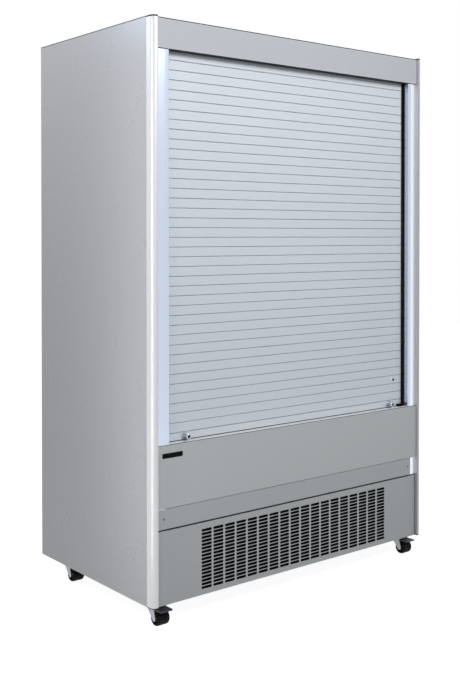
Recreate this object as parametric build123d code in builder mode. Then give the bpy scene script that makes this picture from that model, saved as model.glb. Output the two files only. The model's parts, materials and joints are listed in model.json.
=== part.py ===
"""Upright refrigerated display cabinet with a slatted roller shutter, on four castors.

The origin is on the floor, under the middle of the cabinet. X runs across the front from left
to right, Y runs from the front to the back, and Z runs up. All sizes are in millimetres.
"""

from build123d import *
import math
import os

os.makedirs("parts", exist_ok=True)

# Overall sizes
width = 1320.0
depth = 750.0
body_height = 1935.0
castor_height = 72.0

# Walls and sheet metal
side_wall = 55.0
back_wall = 42.0
roof_wall = 40.0
tank_wall = 40.0
sheet = 1.5
panel_sheet = 2.0
touch_gap = 0.3
running_fit = 0.08

# Corner posts
post_width = 22.0
post_depth = 36.0
post_radius = 15.0
post_shell = 2.0
cap_thickness = 3.0

# Front, as heights above the underside of the body and setbacks from the post noses
panel_setback = 9.0
grille_setback = 13.0
grille_inset = 25.0
grille_top = 245.5
rib_overlap = 4.0
strip_bottom = 252.5
strip_short_end = 1264.0
riser_bottom = 320.0
seam = 1.5
sill_top = 530.0
sill_sheet = 5.0
sill_grooves = (8.0, 18.0)
sill_groove_width = 2.0
sill_groove_depth = 1.0
canopy_height = 105.0
canopy_bottom = body_height - canopy_height
canopy_lip = 5.0
canopy_lip_step = 1.0

# Grille slots
slot_length = 41.0
slot_height = 8.0
slot_pitch_x = 50.9
slot_pitch_z = 12.2
slot_columns = 18
slot_rows = 17
first_slot_column = 230.0
first_slot_row = 24.0

# Shutter slats: they hook into one another and run in a guide at each side
slat_pitch = 32.75
slat_depth = 8.0
slat_skin = 1.6
slat_crown = 0.5
slat_hook = 5.0
slat_clearance = 0.3
slat_shoulder = 1.0
rigid_slats = 3
curtain_setback = 40.0
curtain_inset = 59.0
bar_height = 26.2
seal_height = 3.0
bar_bottom = sill_top + seal_height
bar_top = bar_bottom + bar_height
slat_count = math.ceil((canopy_bottom - bar_top) / slat_pitch)

# Guides
flange_width = 16.0
flange_sheet = 2.5
flange_lip = 17.8
guide_wall = 2.4
guide_back_reach = 33.0
guide_clearance = 0.4
brush_reach = 31.0
brush_depth = 10.0
stop_block_height = 10.0
stop_block_width = 16.0

# Shutter barrel
barrel_setback = 110.0
barrel_level = canopy_bottom - 20.0
barrel_radius = 38.0
barrel_shell = 2.0
barrel_end_gap = 20.0
wound_slats = 8
wound_slat_width = 26.0
wound_slat_thickness = 6.0
spindle_radius = 8.0
bracket_plate = 4.0
bracket_size = 110.0
barrel_cap = 6.0
box_back = 206.0
box_floor = canopy_bottom - 108.0
box_lip = 12.0
box_front = 72.0

# Locks
lock_inset = 155.0
lock_level = 16.0
lock_radius = 10.0
lock_reach = 28.0
lock_chamfer = 2.5
plug_radius = 5.0
plug_stand = 0.5
key_slot_width = 1.6
key_slot_height = 6.0
key_slot_depth = 2.0
cam_setback = 52.0
cam_length = 19.0
cam_width = 8.0
cam_thickness = 3.0
cam_slot_room = 1.0
slat_lock_inset = 124.0
slat_lock_radius = 11.0
slat_lock_flange = 1.5
slat_lock_depth = 14.0
slat_lock_cam = 15.0

# Air circuit and inside of the display space
tank_front = 60.0
return_front = 70.0
return_back = 190.0
duct_panel_setback = depth - 88.0
ceiling_level = box_floor
discharge_back = 290.0
discharge_height = 30.0
louvre_bays = 4
louvre_rows = 3
louvre_rib = 14.0
louvre_bar = 6.0
return_rows = 4
return_pitch = 24.0
return_slot = 12.0
duct_slot_rows = 5
duct_slot_columns = 4
duct_slot_length = 160.0
duct_slot_height = 8.0
fan_plate_setback = 320.0
fan_radius = 64.0
fan_hub = 18.0
fan_spacing = 560.0
coil_front = 430.0
coil_depth = 180.0
coil_height = 120.0
coil_width = 1000.0
coil_fins = 10
coil_fin = 0.8
coil_core_share = 0.8

# Shelves
shelf_count = 4
shelf_pitch = (ceiling_level - sill_top) / (shelf_count + 1)
shelf_depth = 400.0
shelf_edge = 26.0
ticket_height = 39.0
upright_width = 30.0
upright_depth = 18.0
bracket_gauge = 3.0
bracket_inset = 22.0
bracket_foot = 30.0
hook_width = 8.0
hook_height = 10.0
upright_slot_room = 2.0
upright_slot_height = 16.0
upright_head_room = 20.0
shelf_lip = 10.0
shelf_back_gap = 4.0
ticket_lean = 14.0
ticket_foot = 8.0
ticket_drop = 2.0
bracket_front_height = 22.0

# Refrigeration, on the base tray
tray_sheet = 3.0
tray_flange = 40.0
compressor_radius = 84.0
compressor_height = 190.0
condenser_width = 380.0
condenser_height = 240.0
condenser_depth = 66.0
condenser_fins = 12
condenser_fan_radius = 100.0
condenser_hub = 24.0
shroud_depth = 20.0

# Castors
wheel_radius = 25.0
wheel_width = 46.0
wheel_shoulder = 5.0
wheel_step = 2.0
wheel_bore = 5.0
castor_trail = 23.0
castor_inset = 57.0
front_castor_setback = 64.0
rear_castor_setback = depth - 136.0
castor_plate = 3.0
castor_plate_size = 66.0
race_radius = 22.0
plate_corner = 8.0
fork_side_gap = 1.5
fork_gauge = 2.5
fork_crown_level = 60.0
race_level = fork_crown_level + fork_gauge + touch_gap
kingpin_radius = 6.0
pedal_width = 50.0
pedal_gauge = 4.0

# Planes shared by several pieces
body_bottom = castor_height
body_top = castor_height + body_height
front = -depth / 2
back = depth / 2
half = width / 2
inner_half = half - side_wall
jamb_setback = panel_setback + panel_sheet
back_inner = depth - back_wall
tank_floor = riser_bottom + tank_wall
deck_level = sill_top - sill_sheet
roof_under = body_height - cap_thickness - roof_wall


def behind(setback):
    """The y of a plane set back from the noses of the corner posts."""
    return front + setback


def above(height):
    """The z of a plane above the underside of the body."""
    return body_bottom + height


def side_block(x_from, x_to, y_from, y_to, z_from, z_to, mode=Mode.ADD):
    """A block between two corner points, added to the open part."""
    with Locations(((x_from + x_to) / 2, (y_from + y_to) / 2, (z_from + z_to) / 2)):
        Box(abs(x_to - x_from), abs(y_to - y_from), abs(z_to - z_from), mode=mode)


def plan(x_from, x_to, y_from, y_to, mode=Mode.ADD):
    """A rectangle between two corner points, added to the open sketch."""
    with Locations(((x_from + x_to) / 2, (y_from + y_to) / 2)):
        Rectangle(abs(x_to - x_from), abs(y_to - y_from), mode=mode)


def keep(piece, label):
    """Name a finished piece and write it to its own file."""
    piece.part.label = label
    export_step(piece.part, f"parts/{label}.step")


# ---------------------------------------------------------------- insulated shell
with BuildPart() as side_panel_left:
    with BuildSketch(Plane.XY.offset(body_bottom)):
        plan(-half, -inner_half, behind(post_depth), back)
    extrude(amount=body_height)
    outer_edges = side_panel_left.edges().filter_by(Axis.Z).group_by(Axis.X)[0]
    chamfer(outer_edges, length=sheet)
keep(side_panel_left, "side_panel_left")

with BuildPart() as side_panel_right:
    mirror(side_panel_left.part, about=Plane.YZ)
keep(side_panel_right, "side_panel_right")

with BuildPart() as back_panel:
    with BuildSketch(Plane.XY.offset(above(riser_bottom))):
        plan(-inner_half, inner_half, behind(back_inner), back)
    extrude(amount=body_height - cap_thickness - riser_bottom)
keep(back_panel, "back_panel")

with BuildPart() as roof_panel:
    with BuildSketch(Plane.XY.offset(above(roof_under))):
        plan(-inner_half, inner_half, behind(post_depth), behind(back_inner))
    extrude(amount=roof_wall)
keep(roof_panel, "roof_panel")

# The tank is one foamed piece: a floor with the front wall that stands up from it.
with BuildPart() as insulated_tank:
    with BuildSketch(Plane.YZ):
        with BuildLine():
            Polyline(
                (behind(jamb_setback), above(riser_bottom)),
                (behind(back_inner), above(riser_bottom)),
                (behind(back_inner), above(tank_floor)),
                (behind(tank_front), above(tank_floor)),
                (behind(tank_front), above(sill_top - sill_sheet)),
                (behind(jamb_setback), above(sill_top - sill_sheet)),
                close=True,
            )
        make_face()
    extrude(amount=inner_half, both=True)
    inner_corner = insulated_tank.edges().filter_by(Axis.X).sort_by_distance(
        (0, behind(tank_front), above(tank_floor))
    )[0]
    fillet(inner_corner, radius=tank_wall / 2)
keep(insulated_tank, "insulated_tank")

# ---------------------------------------------------------------- corner posts
with BuildPart() as post_profile:
    with BuildSketch(Plane.XY.offset(body_bottom + cap_thickness)) as post_outline:
        plan(-half, -half + post_width, front, behind(post_depth))
        nose = post_outline.vertices().sort_by_distance((-half, front, 0))[0]
        fillet(nose, radius=post_radius)
        offset(amount=-post_shell, mode=Mode.SUBTRACT)
    extrude(amount=body_height - 2 * cap_thickness)

with BuildPart() as corner_posts:
    add(post_profile.part)
    mirror(about=Plane.YZ)
keep(corner_posts, "corner_posts")

with BuildPart() as post_end_caps:
    with BuildSketch(Plane.XY.offset(body_bottom)) as cap_outline:
        plan(-half, -half + post_width, front, behind(post_depth))
        nose = cap_outline.vertices().sort_by_distance((-half, front, 0))[0]
        fillet(nose, radius=post_radius)
    extrude(amount=cap_thickness)
    with BuildSketch(Plane.XY.offset(body_top - cap_thickness)):
        add(cap_outline.sketch.moved(Location((0, 0, -body_bottom))))
    extrude(amount=cap_thickness)
    mirror(about=Plane.YZ)
keep(post_end_caps, "post_end_caps")

# ---------------------------------------------------------------- front panels
with BuildPart() as canopy_fascia:
    with BuildSketch(Plane.YZ):
        with BuildLine():
            Polyline(
                (behind(post_depth), above(body_height - cap_thickness)),
                (behind(panel_setback), above(body_height - cap_thickness)),
                (behind(panel_setback), above(canopy_bottom + canopy_lip)),
                (behind(panel_setback - canopy_lip_step), above(canopy_bottom + canopy_lip)),
                (behind(panel_setback - canopy_lip_step), above(canopy_bottom)),
                (behind(post_depth), above(canopy_bottom)),
                (behind(post_depth), above(canopy_bottom + panel_sheet)),
                (behind(jamb_setback), above(canopy_bottom + panel_sheet)),
                (behind(jamb_setback), above(body_height - cap_thickness - panel_sheet)),
                (behind(post_depth), above(body_height - cap_thickness - panel_sheet)),
                close=True,
            )
        make_face()
    extrude(amount=half - post_width, both=True)
keep(canopy_fascia, "canopy_fascia")

with BuildPart() as riser_panel:
    with BuildSketch(Plane.XZ.offset(-behind(jamb_setback))):
        plan(-half + post_width, half - post_width, above(riser_bottom), above(sill_top))
    extrude(amount=panel_sheet)
keep(riser_panel, "riser_panel")

# The strip above the grille stops short at the right and shows the jamb behind it.
with BuildPart() as service_strip:
    with BuildSketch(Plane.XZ.offset(-behind(jamb_setback))):
        plan(-half + post_width, -half + strip_short_end, above(strip_bottom), above(riser_bottom - seam))
    extrude(amount=panel_sheet)
keep(service_strip, "service_strip")

# The grille sheet has one tall window for each column of slots. Bars on its back cross every
# window and part it into slots.
with BuildPart() as lower_grille:
    grille_half = half - grille_inset
    bar_rise = slot_pitch_z - slot_height
    slots_x = -half + first_slot_column + (slot_columns - 1) * slot_pitch_x / 2
    slots_z = above(first_slot_row) + (slot_rows - 1) * slot_pitch_z / 2
    slots_width = (slot_columns - 1) * slot_pitch_x + slot_length
    slots_height = (slot_rows - 1) * slot_pitch_z + slot_height
    with BuildSketch(Plane.XY.offset(body_bottom)):
        with BuildLine():
            Polyline(
                (-grille_half, behind(post_depth)),
                (-grille_half, behind(grille_setback)),
                (grille_half, behind(grille_setback)),
                (grille_half, behind(post_depth)),
                (grille_half - sheet, behind(post_depth)),
                (grille_half - sheet, behind(grille_setback + sheet)),
                (-grille_half + sheet, behind(grille_setback + sheet)),
                (-grille_half + sheet, behind(post_depth)),
                close=True,
            )
        make_face()
    extrude(amount=grille_top)
    with BuildSketch(Plane.XZ.offset(-behind(grille_setback + sheet))):
        with Locations((slots_x, slots_z)):
            with GridLocations(slot_pitch_x, 0, slot_columns, 1):
                Rectangle(slot_length, slots_height)
    extrude(amount=sheet, mode=Mode.SUBTRACT)
    with BuildSketch(Plane.XZ.offset(-behind(grille_setback + 2 * sheet + touch_gap))):
        with Locations((slots_x, slots_z)):
            with GridLocations(0, slot_pitch_z, 1, slot_rows - 1):
                Rectangle(slots_width + 2 * rib_overlap, bar_rise)
    extrude(amount=sheet)
keep(lower_grille, "lower_grille")

# ---------------------------------------------------------------- jambs, guides and sill
jamb_shell = 1.5
with BuildPart() as jamb_profiles:
    with BuildSketch(Plane.XY.offset(above(strip_bottom))) as jamb_outline:
        plan(-half + post_width, -inner_half, behind(jamb_setback), behind(post_depth))
        offset(amount=-jamb_shell, mode=Mode.SUBTRACT)
    extrude(amount=canopy_bottom - strip_bottom)
    mirror(about=Plane.YZ)
keep(jamb_profiles, "jamb_profiles")

with BuildPart() as sill_trim:
    with BuildSketch(Plane.YZ) as sill_section:
        plan(behind(jamb_setback), behind(return_front), above(sill_top - sill_sheet), above(sill_top))
    extrude(amount=inner_half, both=True)
    # Two fine grooves run along the ledge in front of the shutter.
    with BuildSketch(Plane.YZ):
        for groove in sill_grooves:
            groove_front = behind(jamb_setback + groove)
            groove_floor = above(sill_top - sill_groove_depth)
            plan(groove_front, groove_front + sill_groove_width, groove_floor, above(sill_top))
    extrude(amount=inner_half, both=True, mode=Mode.SUBTRACT)
    # A slot behind each bar lock takes the tongue of its cam.
    for side in (-1, 1):
        lock_x = side * (half - lock_inset)
        side_block(
            lock_x - cam_length,
            lock_x + cam_length,
            behind(cam_setback - cam_slot_room),
            behind(cam_setback + cam_thickness + cam_slot_room),
            above(sill_top - sill_sheet),
            above(sill_top),
            mode=Mode.SUBTRACT,
        )
keep(sill_trim, "sill_trim")

# One guide is a single extrusion: the wide front flange with its return lip, the web on the
# jamb, and the wall behind the curtain.
guide_back = curtain_setback + slat_depth + guide_clearance
with BuildPart() as guide_rails:
    with BuildSketch(Plane.XY.offset(above(sill_top))):
        with BuildLine():
            Polyline(
                (-inner_half, behind(panel_setback)),
                (-inner_half + flange_width, behind(panel_setback)),
                (-inner_half + flange_width, behind(panel_setback + flange_sheet + flange_lip)),
                (-inner_half + flange_width - guide_wall, behind(panel_setback + flange_sheet + flange_lip)),
                (-inner_half + flange_width - guide_wall, behind(panel_setback + flange_sheet)),
                (-inner_half + guide_wall, behind(panel_setback + flange_sheet)),
                (-inner_half + guide_wall, behind(guide_back)),
                (-inner_half + guide_back_reach, behind(guide_back)),
                (-inner_half + guide_back_reach, behind(guide_back + guide_wall)),
                (-inner_half, behind(guide_back + guide_wall)),
                close=True,
            )
        make_face()
    extrude(amount=canopy_bottom - sill_top)
    mirror(about=Plane.YZ)
keep(guide_rails, "guide_rails")

# Black brush strips close the guides in front of the slat ends, over a stop block at the foot.
with BuildPart() as guide_brushes:
    with BuildSketch(Plane.XY.offset(above(sill_top))):
        plan(
            -inner_half + guide_wall,
            -inner_half + brush_reach,
            behind(curtain_setback - guide_clearance - brush_depth),
            behind(curtain_setback - guide_clearance),
        )
    extrude(amount=canopy_bottom - sill_top)
    side_block(
        -inner_half + brush_reach,
        -inner_half + brush_reach + stop_block_width,
        behind(curtain_setback - guide_clearance - brush_depth),
        behind(curtain_setback - guide_clearance),
        above(sill_top),
        above(sill_top + stop_block_height),
    )
    mirror(about=Plane.YZ)
keep(guide_brushes, "guide_brushes")

# ---------------------------------------------------------------- shutter curtain
slat_half = half - curtain_inset


def slat_section(level):
    """Section of one slat: a flat skin with a hook below and a hooked tongue above."""
    face = behind(curtain_setback)
    rim = face + slat_crown
    rear = face + slat_depth
    foot = above(level) + slat_clearance
    shoulder = above(level) + slat_pitch - slat_skin - slat_shoulder
    hook = above(level) + slat_pitch + slat_skin + 2 * slat_clearance
    with BuildSketch(Plane.YZ) as section:
        with BuildLine():
            Polyline(
                (rim, foot),
                (face + slat_hook, foot),
                (face + slat_hook, foot + slat_skin),
                (rim + slat_skin, foot + slat_skin),
                (rim + slat_skin, shoulder - slat_skin),
                (rear, shoulder + slat_shoulder - slat_skin),
                (rear, hook + slat_skin),
                (face + slat_hook - slat_skin, hook + slat_skin),
                (face + slat_hook - slat_skin, hook),
                (rear - slat_skin, hook),
                (rear - slat_skin, shoulder + slat_shoulder),
                (rim, shoulder),
                (face, shoulder - slat_crown),
                (face, foot + slat_crown),
                close=True,
            )
        make_face()
    return section.sketch


def cylinder_behind(x, height, radius, setback_from, setback_to, mode=Mode.ADD):
    """A round piece along Y between two setbacks, added to the open part."""
    with Locations((x, behind((setback_from + setback_to) / 2), above(height))):
        Cylinder(radius, setback_to - setback_from, rotation=(90, 0, 0), mode=mode)


slat_lock_x = half - slat_lock_inset
slat_lock_level = bar_top + (rigid_slats - 1) * slat_pitch + (slat_pitch - slat_skin - slat_shoulder) / 2
lock_height = sill_top + lock_level
lock_front = curtain_setback - lock_reach

# The last slats carry the key lock, so they stay flat below the barrel when the shutter is open.
with BuildPart() as lower_slats:
    for index in range(rigid_slats):
        extrude(slat_section(bar_top + index * slat_pitch), amount=slat_half, both=True)
    cylinder_behind(
        slat_lock_x,
        slat_lock_level,
        plug_radius + running_fit,
        curtain_setback - slat_depth,
        curtain_setback + slat_depth * 2,
        mode=Mode.SUBTRACT,
    )
keep(lower_slats, "lower_slats")

with BuildPart() as shutter_curtain:
    for index in range(rigid_slats, slat_count):
        extrude(slat_section(bar_top + index * slat_pitch), amount=slat_half, both=True)
keep(shutter_curtain, "shutter_curtain")

# The bottom bar is a hollow extrusion. Its top edge has the slats' tongue and hook.
with BuildPart() as bottom_bar:
    bar_face = behind(curtain_setback)
    bar_rear = behind(curtain_setback + slat_depth)
    bar_shoulder = above(bar_top) - slat_skin - slat_shoulder
    bar_hook = above(bar_top) + slat_skin + 2 * slat_clearance
    stem_half = slat_skin / 2 + slat_clearance
    bar_middle = (bar_face + bar_rear) / 2
    with BuildSketch(Plane.YZ):
        with BuildLine():
            Polyline(
                (bar_face, above(bar_bottom)),
                (bar_middle - stem_half, above(bar_bottom)),
                (bar_middle - stem_half, above(bar_bottom + seal_height)),
                (bar_middle + stem_half, above(bar_bottom + seal_height)),
                (bar_middle + stem_half, above(bar_bottom)),
                (bar_rear, above(bar_bottom)),
                (bar_rear, bar_hook + slat_skin),
                (bar_face + slat_hook - slat_skin, bar_hook + slat_skin),
                (bar_face + slat_hook - slat_skin, bar_hook),
                (bar_rear - slat_skin, bar_hook),
                (bar_rear - slat_skin, bar_shoulder + slat_shoulder),
                (bar_face + slat_crown, bar_shoulder),
                (bar_face, bar_shoulder - slat_crown),
                close=True,
            )
        make_face()
        plan(
            bar_face + slat_skin,
            bar_rear - slat_skin,
            above(bar_bottom + seal_height) + slat_skin,
            bar_shoulder - slat_skin - slat_crown,
            mode=Mode.SUBTRACT,
        )
    extrude(amount=slat_half, both=True)
    for side in (-1, 1):
        cylinder_behind(
            side * (half - lock_inset),
            lock_height,
            plug_radius + running_fit,
            curtain_setback - slat_depth,
            curtain_setback + slat_depth * 2,
            mode=Mode.SUBTRACT,
        )
keep(bottom_bar, "bottom_bar")

with BuildPart() as bottom_seal:
    with BuildSketch(Plane.YZ):
        plan(
            bar_face + slat_clearance,
            bar_rear - slat_clearance,
            above(sill_top) + touch_gap,
            above(bar_bottom),
        )
        plan(
            bar_middle - slat_skin / 2,
            bar_middle + slat_skin / 2,
            above(bar_bottom),
            above(bar_bottom + seal_height) - slat_clearance,
        )
    extrude(amount=slat_half, both=True)
keep(bottom_seal, "bottom_seal")

# ---------------------------------------------------------------- locks
# Two barrel locks stand out of the bottom bar and one flush lock sits in the third slat.
with BuildPart() as lock_bodies:
    for side in (-1, 1):
        cylinder_behind(side * (half - lock_inset), lock_height, lock_radius, lock_front, curtain_setback)
    chamfer(lock_bodies.edges().group_by(Axis.Y)[0], length=lock_chamfer)
    for side in (-1, 1):
        cylinder_behind(
            side * (half - lock_inset),
            lock_height,
            plug_radius + running_fit,
            lock_front,
            curtain_setback,
            mode=Mode.SUBTRACT,
        )
    cylinder_behind(
        slat_lock_x,
        slat_lock_level,
        slat_lock_radius,
        curtain_setback - slat_lock_flange,
        curtain_setback,
    )
    cylinder_behind(
        slat_lock_x,
        slat_lock_level,
        plug_radius + running_fit,
        curtain_setback - slat_lock_flange,
        curtain_setback,
        mode=Mode.SUBTRACT,
    )
keep(lock_bodies, "lock_bodies")


def lock_plug(x, height, plug_front, cam_front, reach, pointing):
    """A key plug along Y with its slot in front and its cam behind, pointing along X."""
    with BuildPart() as plug:
        cylinder_behind(x, height, plug_radius, plug_front, cam_front + cam_thickness)
        side_block(
            x - key_slot_width / 2,
            x + key_slot_width / 2,
            behind(plug_front),
            behind(plug_front + key_slot_depth),
            above(height) - key_slot_height / 2,
            above(height) + key_slot_height / 2,
            mode=Mode.SUBTRACT,
        )
        side_block(
            x - pointing * cam_width / 2,
            x + pointing * reach,
            behind(cam_front),
            behind(cam_front + cam_thickness),
            above(height) - cam_width / 2,
            above(height) + cam_width / 2,
        )
    return plug


for name, side in (("lock_plug_left", -1), ("lock_plug_right", 1)):
    lock_x = side * (half - lock_inset)
    keep(lock_plug(lock_x, lock_height, lock_front - plug_stand, cam_setback, cam_length, -side), name)

keep(
    lock_plug(
        slat_lock_x,
        slat_lock_level,
        curtain_setback - slat_lock_flange - plug_stand,
        curtain_setback + slat_lock_depth + touch_gap,
        slat_lock_cam,
        1,
    ),
    "slat_lock_plug",
)

# ---------------------------------------------------------------- shutter barrel
barrel_y = behind(barrel_setback)
barrel_z = above(barrel_level)
barrel_half = inner_half - barrel_end_gap
with BuildPart() as roller_barrel:
    with BuildSketch(Plane.YZ):
        with Locations((barrel_y, barrel_z)):
            Circle(barrel_radius)
            Circle(barrel_radius - barrel_shell, mode=Mode.SUBTRACT)
    extrude(amount=barrel_half, both=True)
    for end_plane in (Plane.YZ.offset(barrel_half - barrel_cap), Plane.YZ.offset(-barrel_half)):
        with BuildSketch(end_plane):
            with Locations((barrel_y, barrel_z)):
                Circle(barrel_radius)
                Circle(spindle_radius + running_fit, mode=Mode.SUBTRACT)
        extrude(amount=barrel_cap)
    # One layer of slats stays wound on when the shutter is down.
    with BuildSketch(Plane.YZ):
        with Locations((barrel_y, barrel_z)):
            with PolarLocations(barrel_radius + touch_gap + wound_slat_thickness / 2, wound_slats):
                Rectangle(wound_slat_thickness, wound_slat_width)
    extrude(amount=slat_half, both=True)
keep(roller_barrel, "roller_barrel")

with BuildPart() as barrel_brackets:
    with BuildSketch(Plane.YZ.offset(inner_half - bracket_plate)) as bracket_outline:
        with Locations((barrel_y, barrel_z)):
            Rectangle(bracket_size, bracket_size)
        chamfer(bracket_outline.vertices(), length=bracket_size / 8)
    extrude(amount=bracket_plate)
    with BuildSketch(Plane.YZ.offset(barrel_half - 2 * barrel_cap)):
        with Locations((barrel_y, barrel_z)):
            Circle(spindle_radius)
    extrude(amount=barrel_end_gap + 2 * barrel_cap - bracket_plate)
    mirror(about=Plane.YZ)
keep(barrel_brackets, "barrel_brackets")

with BuildPart() as shutter_box:
    with BuildSketch(Plane.YZ):
        with BuildLine():
            Polyline(
                (behind(box_front), above(box_floor + box_lip)),
                (behind(box_front), above(box_floor)),
                (behind(box_back), above(box_floor)),
                (behind(box_back), above(roof_under)),
                (behind(box_back) - sheet, above(roof_under)),
                (behind(box_back) - sheet, above(box_floor) + sheet),
                (behind(box_front) + sheet, above(box_floor) + sheet),
                (behind(box_front) + sheet, above(box_floor + box_lip)),
                close=True,
            )
        make_face()
    extrude(amount=inner_half, both=True)
keep(shutter_box, "shutter_box")

# ---------------------------------------------------------------- air circuit
with BuildPart() as discharge_grille:
    bay_pitch = 2 * inner_half / louvre_bays
    discharge_depth = discharge_back - box_back
    louvre_pitch = discharge_depth / (louvre_rows + 1)
    side_block(
        -inner_half,
        inner_half,
        behind(box_back),
        behind(discharge_back),
        above(ceiling_level),
        above(ceiling_level + discharge_height),
    )
    with BuildSketch(Plane.XY.offset(above(ceiling_level))):
        with Locations((0, behind(box_back + discharge_depth / 2))):
            with GridLocations(bay_pitch, louvre_pitch, louvre_bays, louvre_rows):
                Rectangle(bay_pitch - louvre_rib, louvre_pitch - louvre_bar)
    extrude(amount=discharge_height, mode=Mode.SUBTRACT)
keep(discharge_grille, "discharge_grille")

with BuildPart() as ceiling_panel:
    with BuildSketch(Plane.YZ):
        with BuildLine():
            Polyline(
                (behind(discharge_back), above(ceiling_level + discharge_height)),
                (behind(discharge_back), above(ceiling_level)),
                (behind(duct_panel_setback) + sheet, above(ceiling_level)),
                (behind(duct_panel_setback) + sheet, above(ceiling_level) + sheet),
                (behind(discharge_back) + sheet, above(ceiling_level) + sheet),
                (behind(discharge_back) + sheet, above(ceiling_level + discharge_height)),
                close=True,
            )
        make_face()
    extrude(amount=inner_half, both=True)
keep(ceiling_panel, "ceiling_panel")

with BuildPart() as rear_duct_panel:
    duct_middle = above((deck_level + ceiling_level) / 2)
    duct_slot_pitch = 2 * inner_half / (duct_slot_columns + 1)
    with BuildSketch(Plane.XZ.offset(-behind(duct_panel_setback) - sheet)):
        plan(-inner_half, inner_half, above(deck_level), above(ceiling_level))
        with Locations((0, duct_middle)):
            with GridLocations(duct_slot_pitch, shelf_pitch, duct_slot_columns, duct_slot_rows):
                Rectangle(duct_slot_length, duct_slot_height, mode=Mode.SUBTRACT)
    extrude(amount=sheet)
keep(rear_duct_panel, "rear_duct_panel")

with BuildPart() as return_air_grille:
    return_middle = (return_front + return_back) / 2
    with BuildSketch(Plane.XY.offset(above(deck_level) - sheet)):
        plan(-inner_half, inner_half, behind(tank_front), behind(return_back))
        with Locations((0, behind(return_middle))):
            with GridLocations(bay_pitch, return_pitch, louvre_bays, return_rows):
                Rectangle(bay_pitch - louvre_rib, return_slot, mode=Mode.SUBTRACT)
    extrude(amount=sheet)
keep(return_air_grille, "return_air_grille")

with BuildPart() as base_deck:
    deck_flange = 20.0
    with BuildSketch(Plane.YZ):
        with BuildLine():
            Polyline(
                (behind(return_back), above(deck_level - deck_flange)),
                (behind(return_back), above(deck_level)),
                (behind(duct_panel_setback) + sheet, above(deck_level)),
                (behind(duct_panel_setback) + sheet, above(deck_level - deck_flange)),
                (behind(duct_panel_setback), above(deck_level - deck_flange)),
                (behind(duct_panel_setback), above(deck_level) - sheet),
                (behind(return_back) + sheet, above(deck_level) - sheet),
                (behind(return_back) + sheet, above(deck_level - deck_flange)),
                close=True,
            )
        make_face()
    extrude(amount=inner_half, both=True)
keep(base_deck, "base_deck")

rotor_depth = 20.0
motor_size = 44.0
motor_depth = 40.0
arm_width = 10.0
blade_gap = 3.0
shaft_radius = 4.0
shaft_entry = 12.0


def fan_mount(x, height, radius, setback):
    """A hole through the plate in front of setback, and a motor behind it on an arm with two legs."""
    motor_front = setback + rotor_depth + blade_gap
    cylinder_behind(x, height, radius, setback - sheet, setback, mode=Mode.SUBTRACT)
    side_block(
        x - motor_size / 2,
        x + motor_size / 2,
        behind(motor_front),
        behind(motor_front + motor_depth),
        above(height) - motor_size / 2,
        above(height) + motor_size / 2,
    )
    cylinder_behind(x, height, shaft_radius, motor_front - blade_gap - shaft_entry, motor_front)
    side_block(
        x - radius - arm_width,
        x + radius + arm_width,
        behind(motor_front),
        behind(motor_front + blade_gap),
        above(height) - arm_width / 2,
        above(height) + arm_width / 2,
    )
    for side in (-1, 1):
        side_block(
            x + side * (radius + arm_width),
            x + side * (radius + arm_width - blade_gap),
            behind(setback),
            behind(motor_front),
            above(height) - arm_width / 2,
            above(height) + arm_width / 2,
        )


# A plate under the deck carries both evaporator fans.
fan_level = (tank_floor + deck_level) / 2
fan_spots = (-fan_spacing / 2, fan_spacing / 2)
with BuildPart() as fan_plate:
    side_block(
        -inner_half,
        inner_half,
        behind(fan_plate_setback),
        behind(fan_plate_setback + sheet),
        above(tank_floor),
        above(deck_level) - sheet,
    )
    for x in fan_spots:
        fan_mount(x, fan_level, fan_radius, fan_plate_setback + sheet)
keep(fan_plate, "fan_plate")

fan_blades = 5
blade_pitch_angle = 32.0
blade_gauge = 2.0
blade_root = 10.0
blade_tip = 14.0


def fan_rotor(x, height, setback, radius, hub_radius):
    """A fan rotor on a Y axis: a hub and flat pitched blades that widen towards their tips."""
    centre = Vector(x, behind(setback + rotor_depth / 2), above(height))
    pitch = math.radians(blade_pitch_angle)
    with BuildPart() as rotor:
        cylinder_behind(x, height, hub_radius, setback, setback + rotor_depth)
        for index in range(fan_blades):
            angle = math.radians(index * 360 / fan_blades)
            radial = Vector(math.cos(angle), 0, math.sin(angle))
            tangent = Vector(-math.sin(angle), 0, math.cos(angle))
            blade_face = tangent * math.sin(pitch) - Vector(0, math.cos(pitch), 0)
            with BuildSketch(Plane(origin=centre, x_dir=radial, z_dir=blade_face)):
                Polygon(
                    (hub_radius / 2, -blade_root),
                    (radius, -blade_tip),
                    (radius, blade_tip),
                    (hub_radius / 2, blade_root),
                    align=None,
                )
            extrude(amount=blade_gauge / 2, both=True)
        cylinder_behind(
            x,
            height,
            shaft_radius + running_fit,
            setback + rotor_depth - shaft_entry - touch_gap,
            setback + rotor_depth,
            mode=Mode.SUBTRACT,
        )
    return rotor


for index, x in enumerate(fan_spots):
    rotor_name = f"evaporator_fan_{index + 1}"
    keep(
        fan_rotor(x, fan_level, fan_plate_setback + sheet, fan_radius - 2 * blade_gap, fan_hub),
        rotor_name,
    )


def finned_coil(x_from, x_to, setback, coil_thickness, level, coil_rise, fins, fin):
    """A fin pack as a core with end plates, its fins standing out in front and behind."""
    core = coil_thickness * coil_core_share
    with BuildPart() as coil:
        side_block(
            x_from,
            x_to,
            behind(setback + (coil_thickness - core) / 2),
            behind(setback + (coil_thickness + core) / 2),
            above(level),
            above(level + coil_rise),
        )
        fin_pitch = (x_to - x_from - fin) / (fins - 1)
        with Locations(
            ((x_from + x_to) / 2, behind(setback + coil_thickness / 2), above(level + coil_rise / 2))
        ):
            with GridLocations(fin_pitch, 1, fins, 1):
                Box(fin, coil_thickness, coil_rise)
    return coil


keep(
    finned_coil(
        -coil_width / 2, coil_width / 2, coil_front, coil_depth, tank_floor, coil_height, coil_fins, coil_fin
    ),
    "evaporator_coil",
)

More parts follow.
